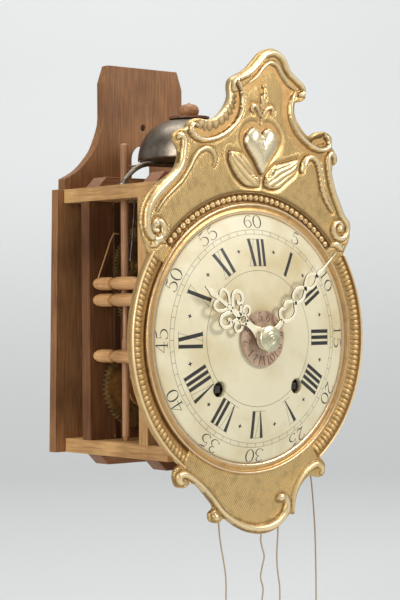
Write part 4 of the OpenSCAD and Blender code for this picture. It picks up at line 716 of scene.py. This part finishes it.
    # the heart: two full lobes in a sunk bed painted dark around them, grime and painted shadow, drawn down to a bud;
    # the lobes are painted pale all over, burnish and a painted highlight
    half_line = [(9.6, 149.8), (12.4, 153.6), (16.6, 155.4), (21, 153.8), (24.6, 149.4), (25.4, 144.6),
                 (23.6, 139.4), (20, 134.8), (16.8, 131), (14.4, 127.4), (12.2, 123.6), (9.6, 120.4)]
    right_half = np.array(rounded(half_line, 4))
    left_half = right_half * (-1, 1) + (2 * heart_x, 0)
    outline_of_heart = np.vstack([right_half, left_half[::-1]])
    on = inside_of(c.points, outline_of_heart)
    edge = nearest(c.points, np.vstack([outline_of_heart, outline_of_heart[:1]]))[0]
    halo = ~on & (z > 119) & (edge < 8.5)
    above = np.clip((z - 132) / 16, 0.12, 1)
    bed = 0.5 - 2.0 * np.exp(-(edge / (2.2 + 2.0 * above)) ** 2)
    grime_and_shade_band = np.clip(1.1 * np.exp(-(edge / (1.4 + 3.0 * above)) ** 2), 0, 1)
    c.lay(halo, height=np.minimum(c.height, bed), dirt=np.maximum(c.dirt, grime_and_shade_band), field=0.0)
    cleft = 1.2 * np.exp(-(x - heart_x) ** 2) * np.clip((z - 139) / 9, 0, 1)
    c.lay(on, height=0.6 + 5.2 * half_round(edge / 8.0) - cleft, dirt=0.35 * (edge < 0.7), wear=1.15, field=0.0)
    # sprig above the heart
    for line in ([(10.2, 157.6, 0.9), (10.2, 162.6, 1.2), (10.6, 168, 1.4), (11.6, 173.4, 1.9), (12.6, 178.5, 2.3),
                  (12.2, 186, 1.2)],
                 [(10, 161.4, 0.7), (8.6, 166.5, 1.2), (6, 170.6, 1.6), (2.6, 171.4, 1.7), (0.9, 168.4, 1.4),
                  (2.4, 166.6, 0.8)],
                 [(10, 161.4, 0.7), (12.4, 166, 1.2), (15.8, 169.6, 1.6), (20, 171, 1.7), (22.4, 168.6, 1.4),
                  (20.6, 166.6, 0.8)]):
        c.ridge(line, 2.3, 0.5, 0.6, 0.9)
    # the hole in the sprig is painted black: painted shade inside the hole
    hole = np.hypot((x - 11.9) / 1.3, (z - 182.6) / 2.8)
    c.lay(hole < 1.1, dirt=1.0)
    c.lay(hole < 1, height=-0.9)


carved_crest = carved_sheet("carved_crest", crest_outline, cut_crest)
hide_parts("crest_carving", "side_scrolls", "heart_ornament")

apron_edge = [(-67.5, -89), (-72, -92), (-73.3, -98), (-70.5, -104), (-64, -105), (-58.5, -101.8), (-51, -105),
              (-42, -114), (-36, -121.5), (-40.5, -125.5), (-39.5, -131), (-33, -132.6), (-27, -129.6),
              (-16, -136.4), (-4, -141.8), (8, -144), (21, -142.2), (31, -136.4), (37, -131.5), (41.5, -132),
              (42.5, -124), (46, -114.5), (53, -106.8), (60, -103.5), (66, -106), (72, -104.5), (73.8, -99),
              (71.5, -94), (66, -90)]
apron_outline = rounded(apron_edge, 3) + seat_arc(-53.7, -127.3)
apron_rim = [(-66.5, -101.6, 1.6), (-69.6, -100.4, 2.6), (-69.6, -96.4, 2.8), (-64.5, -95.6, 2.6),
             (-56.5, -99.6, 2.2), (-46, -107.6, 2), (-38, -115.8, 2), (-29.5, -125, 2.1), (-19, -132.4, 2.3),
             (-7, -137.6, 2.5), (5.5, -139.9, 2.7), (18.5, -138.8, 3), (28.4, -133.6, 3.1), (33.4, -126.4, 3),
             (32.6, -120.4, 2.8), (28.4, -117.6, 2.7), (25, -119.4, 2.2)]
apron_inner = [(-58, -97.2, 0.7), (-49, -102.8, 1), (-39.4, -111, 1), (-31.4, -119.6, 1), (-21.5, -127.2, 0.7)]
apron_left = [(-60, -102.2, 0.8), (-53.5, -103.6, 1.5), (-46, -110.6, 1.6), (-40.4, -118.2, 1.6), (-38, -125, 2),
              (-37, -129, 1.6)]
apron_right = [(40, -129.6, 1.4), (39.8, -122.6, 1.8), (42.6, -113.6, 2), (49.6, -104.2, 2.2), (58.2, -98, 2.4),
               (65.6, -96.2, 2.5), (70.2, -99.4, 2.3), (69.2, -103, 1.6)]


def cut_apron(c, rim):
    c.height += 0.5
    c.ridge(apron_inner, 0.9, 0.5, 0.3, 0.3)
    c.ridge(apron_left, 1.9, 0.5, 0.4, 0.5)
    c.ridge(apron_right, 2.2, 0.5, 0.4, 0.5)
    c.ridge(apron_rim, 2.9, 0.5, 0.75, 0.7)
    c.boss((-36.6, -128.4), 3.0, 3.0, 0.8, 0.5)
    c.boss((27.2, -118.8), 3.1, 3.0, 0.8, 0.5)


carved_apron = carved_sheet("carved_apron", apron_outline, cut_apron)
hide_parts("apron_carving")


# The ring round the dial: a turned frame with a fine bead inside and a smooth band,
# and outside it short carved flutes on the flanks and a row of pearls over the top.
ring_line = [(91.4, 7.0), (91.4, 5.7), (91.8, 5.0), (92.5, 4.55), (93.4, 4.35), (94.4, 4.5), (95.4, 4.85),
             (96.3, 4.95), (96.9, 4.7), (97.3, 4.0), (97.8, 3.4), (98.4, 3.15), (99.0, 3.4), (99.4, 4.1),
             (99.5, 4.6), (99.5, 7.0)]
ring_gold = gold_leaf("ring_gold", gold=(0.62, 0.37, 0.14), pale=(0.97, 0.82, 0.58), rough=0.34)
dial_frame = lathe("dial_frame", [(r, y, 0) for r, y in ring_line], (0, 0, 0), (0, 1, 0), ring_gold, "case", 180)
edge_wear_and_highlight = dial_frame.data.attributes.new("wear", "FLOAT", "POINT")


def in_millimetres(spot):
    return spot.x * 1000, spot.y * 1000 + wall_y, spot.z * 1000 + nail_z


# the crests of the two beads are painted pale: wear and a painted highlight
for vert, worn in zip(dial_frame.data.vertices, edge_wear_and_highlight.data):
    x, _, z = in_millimetres(vert.co)
    r = math.hypot(x, z)
    worn.value = max(math.exp(-((r - 98.4) / 0.5) ** 2), math.exp(-((r - 92.8) / 0.8) ** 2))
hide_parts("dial_moulding")
flank_line = [(99.5, 6.9), (109.4, 6.9), (109.4, 5.6), (112.5, 5.6), (112.6, 4.2), (112.5, 3.2), (112.2, 2.5),
              (111.8, 2.25), (111.3, 2.6), (111.0, 3.4), (110.8, 4.4), (110.3, 4.7), (109.6, 4.3), (108.4, 4.0),
              (107.0, 4.0), (105.6, 4.3), (104.6, 4.9), (103.7, 5.6), (102.6, 6.0), (101.0, 6.2), (99.55, 6.2)]
flank_gold = gold_leaf("flank_gold", gold=(0.74, 0.47, 0.18), pale=(0.95, 0.76, 0.45), rough=0.5)
flute_width, flute_depth = 2.1, 0.0012


def flank(name, start, end):
    spun = bmesh.new()
    ring = [spun.verts.new(clock_point(r * math.cos(start), y, r * math.sin(start))) for r, y in flank_line]
    face = spun.faces.new(ring)
    bmesh.ops.spin(spun, geom=[face] + list(face.edges) + ring, cent=clock_point(0, 0, 0), axis=(0, -1, 0),
                   angle=end - start, steps=int(round(math.degrees(end - start) * 5)))
    grime_and_shade_layer = spun.verts.layers.float.new("dirt")
    wear_and_highlight_layer = spun.verts.layers.float.new("wear")
    for vert in spun.verts:
        x, y, z = in_millimetres(vert.co)
        r = math.hypot(x, z)
        # the gaps between the flutes, the band inside them and the groove by the rim are painted dark, grime and
        # painted shade; the flute tops and the rim crest are painted pale, wear and a painted highlight
        if 103.5 < r < 110.1 and y < 6.5:
            turned = math.degrees(math.atan2(z, x)) + 54
            uneven = turned + 0.12 * math.sin(turned * 1.7)
            flute = abs(math.sin(math.radians(uneven * 180 / flute_width))) ** 0.28
            vert.co.y += flute_depth * (1 - flute) - 0.0003
            vert[grime_and_shade_layer] = 0.8 * (1 - flute) + 0.12
            vert[wear_and_highlight_layer] = 0.3 * flute * max(0.0, 1 - abs(r - 107) / 4)
        elif r < 103.6 and y < 6.6:
            vert[grime_and_shade_layer] = 0.3
        if 110.1 < r < 111.1 and y < 5.5:
            vert[grime_and_shade_layer] = 0.5
        if r > 111.2 and y < 3.4:
            vert[wear_and_highlight_layer] = 0.8
    smooth_out(spun)
    piece = as_piece(name, spun, flank_gold)
    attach(piece, "case")
    return piece


right_flank = flank("right_flank", math.radians(-54), math.radians(34))
left_flank = flank("left_flank", math.radians(146), math.radians(234))
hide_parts("gadroon_bands")
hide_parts("gadroon_bands")
pearls = bmesh.new()
pearl_count, pearl_span, dimple = 33, 94, 1.1
for n in range(pearl_count):
    a = math.radians(90 - pearl_span / 2 + pearl_span * n / (pearl_count - 1))
    spot = clock_point(pearl_radius * math.cos(a), 6.9, pearl_radius * math.sin(a))
    made = bmesh.ops.create_uvsphere(pearls, u_segments=20, v_segments=12, radius=0.0025,
                                     matrix=Matrix.Translation(spot) @ Matrix.Rotation(math.pi / 2, 4, "X"))
    for vert in made["verts"]:
        out = math.hypot(vert.co.x - spot.x, vert.co.z - spot.z) * 1000
        if vert.co.y < spot.y and out < dimple:
            vert.co.y += 0.0006 * (1 - (out / dimple) ** 2)
smooth_out(pearls)
pearl_row = as_piece("pearls", pearls, gold_leaf("pearl_gold", gold=(0.80, 0.57, 0.28), rough=0.32))
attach(pearl_row, "case")
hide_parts("bead_row")


# The dial: a domed plate with a cream ground, clouded unevenly with dust.
# Figures, tracks and stars are thin black paint that follows the dome.
dome_radius, dial_front_y = 402.0, -5.4548


def dial_y(r):
    return dial_front_y + dome_radius - math.sqrt(dome_radius ** 2 - r * r)


cream = new_finish("cream_ground")
cloud = finish_step(cream, "TexNoise", {"Vector": own_place(cream), "Scale": 26, "Detail": 5}).outputs["Fac"]
finish_with(cream, {"Base Color": ramp(cream, cloud, (0.3, (0.62, 0.50, 0.27)), (0.58, (0.77, 0.70, 0.49))),
                    "Roughness": 0.42, "Normal": relief(cream, cloud, 0.08, 0.0005)})
hole_radius, ground_width = 6.0, 85.3
dial_line = [(r, dial_y(r), 0) for r in [hole_radius + ground_width * k / 40 for k in range(41)]]
dial_line += [(91.3, 7.0, 0), (89.3, 7.0, 0), (hole_radius, dial_y(hole_radius) + 2.2, 0)]
cream_plate = lathe("cream_plate", dial_line, (0, 0, 0), (0, 1, 0), cream, "case", 120)
cutter = bmesh.new()
for side in (-1, 1):
    bore = Matrix.Translation(clock_point(drum_x * side, 0, drum_z)) @ Matrix.Rotation(math.pi / 2, 4, "X")
    bmesh.ops.create_cone(cutter, cap_ends=True, segments=40, radius1=0.0058, radius2=0.0058, depth=0.04,
                          matrix=bore)
drill = as_piece("keyhole_drill", cutter)
bored = cream_plate.modifiers.new("bored", "BOOLEAN")
bored.object = drill
bored.operation = "DIFFERENCE"
bpy.context.view_layer.update()
cut_plate = cream_plate.evaluated_get(bpy.context.evaluated_depsgraph_get())
cream_plate_mesh = bpy.data.meshes.new_from_object(cut_plate)
cream_plate.modifiers.clear()
cream_plate.data = cream_plate_mesh
cream_plate.name = "cream_dial"
bpy.data.objects.remove(drill)
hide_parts("dial")

ink = dull_metal("figure_black", (0.035, 0.032, 0.03), (0.02, 0.018, 0.016), 0.0, 0.36, 300)
painted = bmesh.new()


def on_dome(x, z, lift=0.05):
    return clock_point(x, dial_y(math.hypot(x, z)) - lift, z)


def stroke(x0, z0, x1, z1, w0, w1, turn, pieces=6):
    length = math.hypot(x1 - x0, z1 - z0)
    across = ((z1 - z0) / length, -(x1 - x0) / length)
    rows = []
    for k in range(pieces + 1):
        t = k / pieces
        cx, cz, w = x0 + (x1 - x0) * t, z0 + (z1 - z0) * t, (w0 + (w1 - w0) * t) / 2
        row = []
        for s in (-1, 1):
            px, pz = cx + s * w * across[0], cz + s * w * across[1]
            row.append(painted.verts.new(on_dome(px * math.cos(turn) + pz * math.sin(turn),
                                                 pz * math.cos(turn) - px * math.sin(turn))))
        rows.append(row)
    for a, b in zip(rows, rows[1:]):
        painted.faces.new((a[0], a[1], b[1], b[0]))


numeral_foot, numeral_head = 53.0, 73.0
numeral_widths = {"I": 4.5, "V": 9.4, "X": 9.2}
hairline = 0.22


def numeral(text, hour):
    turn = math.radians(30 * hour)
    total = sum(numeral_widths[letter] for letter in text)
    x = -total / 2
    for letter in text:
        mid = x + numeral_widths[letter] / 2
        if letter == "I":
            stroke(mid, numeral_foot, mid, numeral_head, 2.7, 2.7, turn)
        elif letter == "V":
            stroke(mid + 0.9, numeral_foot, mid - 2.6, numeral_head, 0.6, 2.9, turn)
            stroke(mid + 0.9, numeral_foot, mid + 3.4, numeral_head, hairline, hairline, turn)
        else:
            stroke(mid + 2.0, numeral_foot, mid - 2.0, numeral_head, 2.8, 2.8, turn)
            stroke(mid - 3.0, numeral_foot, mid + 3.0, numeral_head, hairline, hairline, turn)
        x += numeral_widths[letter]
    for serif in (numeral_head - 0.12, numeral_foot + 0.12):
        stroke(-total / 2 + 0.5, serif, total / 2 - 0.5, serif, hairline, hairline, turn, 4)


for hour, text in enumerate(("XII", "I", "II", "III", "IIII", "V", "VI", "VII", "VIII", "IX", "X", "XI")):
    numeral(text, hour)


def thin_ring(radius, width, parts=180):
    rows = []
    for k in range(parts):
        a = 2 * math.pi * k / parts
        rows.append([painted.verts.new(on_dome(q * math.sin(a), q * math.cos(a), 0.04))
                     for q in (radius - width / 2, radius + width / 2)])
    for a, b in zip(rows, rows[1:] + rows[:1]):
        painted.faces.new((a[0], a[1], b[1], b[0]))


track_inner, track_outer, star_radius = 76.6, 79.8, 65.6
thin_ring(49.8, 0.26)
thin_ring(track_inner, 0.2)
thin_ring(track_outer, 0.22)
for minute in range(60):
    stroke(0, track_inner, 0, track_outer, 0.24, 0.24, math.radians(6 * minute), 1)
for half in range(12):
    for k in range(4):
        reach = 1.6 if k % 2 == 0 else 0.9
        across, up = reach * math.sin(math.pi * k / 4), reach * math.cos(math.pi * k / 4)
        stroke(-across, star_radius - up, across, star_radius + up, 0.6, 0.6, math.radians(30 * half + 15), 1)


def loop(cx, cz, rx, rz, thin, thick):
    return [(cx + rx * math.sin(a), cz + rz * math.cos(a), thin + thick * abs(math.sin(a)) ** 1.5)
            for a in np.linspace(0, 2 * math.pi, 17)]


digit_brush = {
    "0": [loop(0.5, 0.68, 0.42, 0.7, 0.05, 0.13)],
    "1": [[(0.52, 1.4, 0.15), (0.52, 0.7, 0.15), (0.52, 0, 0.15)],
          [(0.24, 1.16, 0.05), (0.38, 1.27, 0.06), (0.5, 1.4, 0.08)],
          [(0.26, 0, 0.05), (0.78, 0, 0.05)]],
    "2": [[(0.14, 1.06, 0.12), (0.18, 1.28, 0.06), (0.48, 1.4, 0.05), (0.82, 1.25, 0.12), (0.8, 0.92, 0.15),
           (0.5, 0.5, 0.09), (0.1, 0.03, 0.05)],
          [(0.1, 0.04, 0.06), (0.38, 0.12, 0.15), (0.68, 0.0, 0.12), (0.92, 0.24, 0.05)]],
    "3": [[(0.14, 1.16, 0.11), (0.3, 1.38, 0.05), (0.62, 1.36, 0.09), (0.78, 1.08, 0.13), (0.6, 0.82, 0.06),
           (0.38, 0.76, 0.04)],
          [(0.38, 0.76, 0.04), (0.68, 0.72, 0.06), (0.9, 0.38, 0.16), (0.74, 0.04, 0.1), (0.4, -0.04, 0.05),
           (0.13, 0.1, 0.08), (0.16, 0.22, 0.12)]],
    "4": [[(0.64, 1.42, 0.05), (0.34, 0.9, 0.05), (0.04, 0.42, 0.05)], [(0.04, 0.42, 0.06), (0.96, 0.42, 0.06)],
          [(0.66, 1.42, 0.12), (0.66, 0.7, 0.15), (0.66, 0, 0.15)], [(0.44, 0, 0.05), (0.88, 0, 0.05)]],
    "5": [[(0.26, 1.34, 0.05), (0.2, 0.74, 0.05)], [(0.24, 1.32, 0.06), (0.5, 1.3, 0.14), (0.84, 1.42, 0.05)],
          [(0.2, 0.74, 0.04), (0.5, 0.88, 0.06), (0.86, 0.6, 0.15), (0.84, 0.2, 0.14), (0.5, -0.04, 0.06),
           (0.16, 0.06, 0.07), (0.18, 0.2, 0.12)]],
    "6": [[(0.82, 1.2, 0.12), (0.72, 1.38, 0.05), (0.4, 1.26, 0.08), (0.14, 0.78, 0.15), (0.14, 0.34, 0.14),
           (0.46, -0.03, 0.05), (0.84, 0.26, 0.14), (0.78, 0.66, 0.1), (0.48, 0.82, 0.04), (0.2, 0.6, 0.05)]],
    "7": [[(0.1, 1.14, 0.06), (0.14, 1.34, 0.12), (0.5, 1.28, 0.13), (0.92, 1.4, 0.05)],
          [(0.92, 1.4, 0.05), (0.6, 0.8, 0.1), (0.44, 0, 0.16)]],
    "8": [loop(0.5, 1.06, 0.3, 0.34, 0.05, 0.09), loop(0.5, 0.34, 0.4, 0.38, 0.05, 0.12)],
}
digit_brush["9"] = [[(1 - x, 1.38 - z, w) for x, z, w in line] for line in digit_brush["6"]]


def brush(line, into, place):
    points = rounded(line, 4)
    rows = []
    for i, (x, z, w) in enumerate(points):
        ax, az = np.array(points[min(i + 1, len(points) - 1)][:2]) - np.array(points[max(i - 1, 0)][:2])
        size = max(math.hypot(ax, az), 1e-6)
        rows.append([into.verts.new(place(x + s * w / 2 * az / size, z - s * w / 2 * ax / size)) for s in (-1, 1)])
    for a, b in zip(rows, rows[1:]):
        into.faces.new((a[0], a[1], b[1], b[0]))


def figures(text, radius, angle, height, into, squeeze, face_y=None):
    turn = math.radians(angle)
    unit = height / 1.4
    step = 1.06 * unit * squeeze

    def place(x, z):
        across, up = x * math.cos(turn) + z * math.sin(turn), z * math.cos(turn) - x * math.sin(turn)
        return on_dome(across, up) if face_y is None else clock_point(across, face_y, up)

    for n, digit in enumerate(text):
        left = (n - len(text) / 2) * step
        foot = radius - height / 2
        for line in digit_brush[digit]:
            brush([(left + x * unit * squeeze, foot + z * unit, w * unit) for x, z, w in line], into, place)


for k in range(12):
    figures(str(60 if k == 0 else 5 * k), 86.0, 30 * k, 9.2, painted, 1.3)
bmesh.ops.recalc_face_normals(painted, faces=painted.faces)
for face in painted.faces:
    if face.normal.y > 0:
        face.normal_flip()
painted_figures = as_piece("painted_figures", painted, ink)
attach(painted_figures, "case")


# The alarm disc: a small brass disc with a dusty pink ground and brown figures,
# turned by its raised collar to set the hour of the alarm.
disc_seat_y, disc_thickness, paint_lift = -5.9548, 1.2, 0.03
figure_y = disc_seat_y - disc_thickness - paint_lift
disc_pink = dull_metal("disc_pink", (0.56, 0.39, 0.27), (0.30, 0.18, 0.11), 0.15, 0.5, 110)
finish_node("alarm_disc", disc_pink)
disc_paint = bmesh.new()
for k in range(1, 13):
    figures(str(k), 16.2, 30 * (k - 6) + 20, 6.4, disc_paint, 0.85, figure_y)
for face in disc_paint.faces:
    face.normal_update()
    if face.normal.y > 0:
        face.normal_flip()
figure_brown = dull_metal("figure_brown", (0.10, 0.04, 0.03), (0.05, 0.02, 0.015), 0.0, 0.5)
alarm_figures = as_piece("alarm_figures", disc_paint, figure_brown)
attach(alarm_figures, "alarm_setting")


# The hands: cast and filed brass, pierced with leafy scrolls and gilt, riveted to their pipes,
# and held by a stepped brass knob.
hand_gilt = dull_metal("hand_gilt", (1.0, 0.94, 0.74), (0.90, 0.78, 0.52), 0.3, 0.38, 160)
hand_side_dirt_and_shade = dull_metal("hand_side_dirt_and_shade", (0.16, 0.10, 0.05), (0.07, 0.04, 0.02), 0.6, 0.5, 160)
knob_brass = dull_metal("knob_brass", (0.80, 0.76, 0.54), (0.48, 0.44, 0.28), 0.75, 0.34, 140)
hour_angle, minute_angle = 304, 47.5
hour_y, minute_y = -8.95, -12.25
flattening, half_thickness = 1.9, 0.55


def drawn_wire(name, lines, angle, y_mid, body):
    shape = bpy.data.curves.new(name, "CURVE")
    shape.dimensions = "3D"
    shape.bevel_depth = 0.001
    shape.bevel_resolution = 3
    shape.use_fill_caps = True
    turn = math.radians(angle)
    for line in lines:
        points = rounded(line, 5)
        spline = shape.splines.new("POLY")
        spline.points.add(len(points) - 1)
        for spot, (u, v, w) in zip(spline.points, points):
            x = v * math.cos(turn) + u * math.sin(turn)
            z = u * math.cos(turn) - v * math.sin(turn)
            spot.co = (x * 0.001, 0.0, z * 0.001, 1)
            spot.radius = 0.62 * w
    holder = bpy.data.objects.new(name, shape)
    mesh = bpy.data.meshes.new_from_object(holder)
    bpy.data.objects.remove(holder)
    for vert in mesh.vertices:
        y = max(-half_thickness, min(half_thickness, vert.co.y * 1000 * flattening))
        vert.co = clock_point(vert.co.x * 1000, y_mid + y, vert.co.z * 1000)
    mesh.name = name
    piece = bpy.data.objects.new(name, mesh)
    bpy.context.scene.collection.objects.link(piece)
    mesh.materials.append(hand_gilt)
    mesh.materials.append(hand_side_dirt_and_shade)
    # the side walls of the hands take a dark brown and the faces the pale gilt: the dark sides are dirt and painted
    # shade
    for face in mesh.polygons:
        face.use_smooth = True
        face.material_index = 0 if abs(face.normal.y) > 0.7 else 1
    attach(piece, body)
    return piece


def hub(radius, width):
    return [(radius * math.cos(a), radius * math.sin(a), width) for a in np.linspace(0, 2 * math.pi, 25)]


def both(line):
    return [line, [(u, -v, w) for u, v, w in line]]


hour_lines = [hub(6.4, 3.4), [(8, 0, 8.5), (12, 0, 5.4), (16, 0, 4.2), (20, 0, 4.0), (22.5, 0, 3.6)],
              [(28.5, 0, 3.8), (32, 0, 4.2), (37, 0, 3.4), (43, 0, 2.6), (50, 0, 2.4), (55, 0, 2.8), (60, 0, 4.4),
               (63.5, 0, 2.2), (68, 0, 0.7)]]
hour_lines += both([(21.5, 0.6, 2.4), (23.4, 3.1, 1.7), (25.6, 3.5, 1.6), (27.6, 2.9, 1.7), (29.5, 0.6, 2.4)])
hour_lines += both([(23.6, 3.4, 1.9), (23, 7.4, 1.8), (25.4, 10.4, 1.9), (28.8, 9.2, 1.8), (29.2, 5.8, 1.7),
                    (26.6, 3.8, 1.9)])
hour_lines += both([(37.5, 1.4, 2.6), (41, 5.2, 2.4), (43.4, 10, 2.3), (41.8, 13.6, 2.3), (37.4, 14.6, 2.3),
                    (33.8, 12, 2.3), (33.2, 8.6, 2.2), (35.8, 7, 2.0), (37.6, 8.6, 1.8)])
hour_lines += both([(30, 1.6, 2.6), (31, 4.4, 2.2), (33.2, 7.8, 2.1)])
hour_lines += both([(42, 1.2, 2.2), (44.6, 5, 2.0), (48.6, 7.8, 2.0), (52.6, 7.6, 2.0), (54.2, 4.8, 2.0),
                    (52.4, 1.6, 2.0)])
hour_scrolls = drawn_wire("hour_scrolls", hour_lines, hour_angle, hour_y, "hour")
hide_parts("hour_hand")
minute_lines = [hub(4.6, 3.0),
                [(5, 0, 5.4), (10, 0.2, 4.0), (15, 0.3, 3.4), (19.5, 0, 3.4)],
                [(19.5, 0.4, 2.4), (23, 4.2, 2.3), (28, 5.8, 2.3), (33, 4.6, 2.3), (36, 1, 2.3), (38.6, -2, 2.4)],
                [(19.5, -0.4, 2.4), (20, -4, 2.2), (22.4, -6.6, 2.2), (25.4, -6.2, 2.0), (27, -4.8, 2.0),
                 (28.4, -7, 2.0), (31.4, -7.2, 2.2), (34.6, -4.8, 2.2), (37.4, -3.4, 2.4)],
                [(37.4, -3.4, 2.4), (40.4, -6.6, 2.2), (45.4, -7.2, 2.2), (49.6, -5, 2.2), (52, -1.6, 2.4)],
                [(37, -1, 2.2), (40.6, 1.6, 2.2), (45.6, 2.2, 2.2), (49.4, 0.6, 2.2), (52.4, -1.6, 2.4)],
                [(52, -1.6, 2.6), (56, -5.2, 2.0), (61, -6.6, 1.9), (65, -4.4, 1.8), (68, -1, 1.8)],
                [(52, -1.6, 2.6), (55.4, 1.6, 2.0), (60.4, 2.8, 1.9), (65, 1.4, 1.8), (68, -0.8, 1.8)],
                [(66, -0.8, 2.0), (71, -0.4, 3.4), (75, -0.2, 1.8), (84, 0, 1.1), (94, 0, 0.7)]]
minute_scrolls = drawn_wire("minute_scrolls", minute_lines, minute_angle, minute_y, "minute")
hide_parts("minute_hand")
stepped_line = [(0.001, -19.05), (0.7, -18.95), (1.4, -18.4), (2.0, -17.7), (2.6, -17.35), (3.2, -17.4), (3.8, -17.65),
             (4.4, -17.55), (4.9, -17.0), (5.5, -16.8), (6.2, -17.0), (6.9, -16.95), (7.4, -16.5), (8.0, -16.3),
             (8.8, -16.2), (9.5, -15.7), (9.8, -14.9), (9.75, -14.2), (9.2, -13.5), (8.8, -12.9), (3.02, -12.88),
             (3.02, -13.8), (0.001, -13.8)]
turned_knob = lathe("turned_knob", [(r, y, 0) for r, y in stepped_line], (0, 0, 0), (0, 1, 0), knob_brass,
                    "minute", 64)
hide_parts("hand_knob")
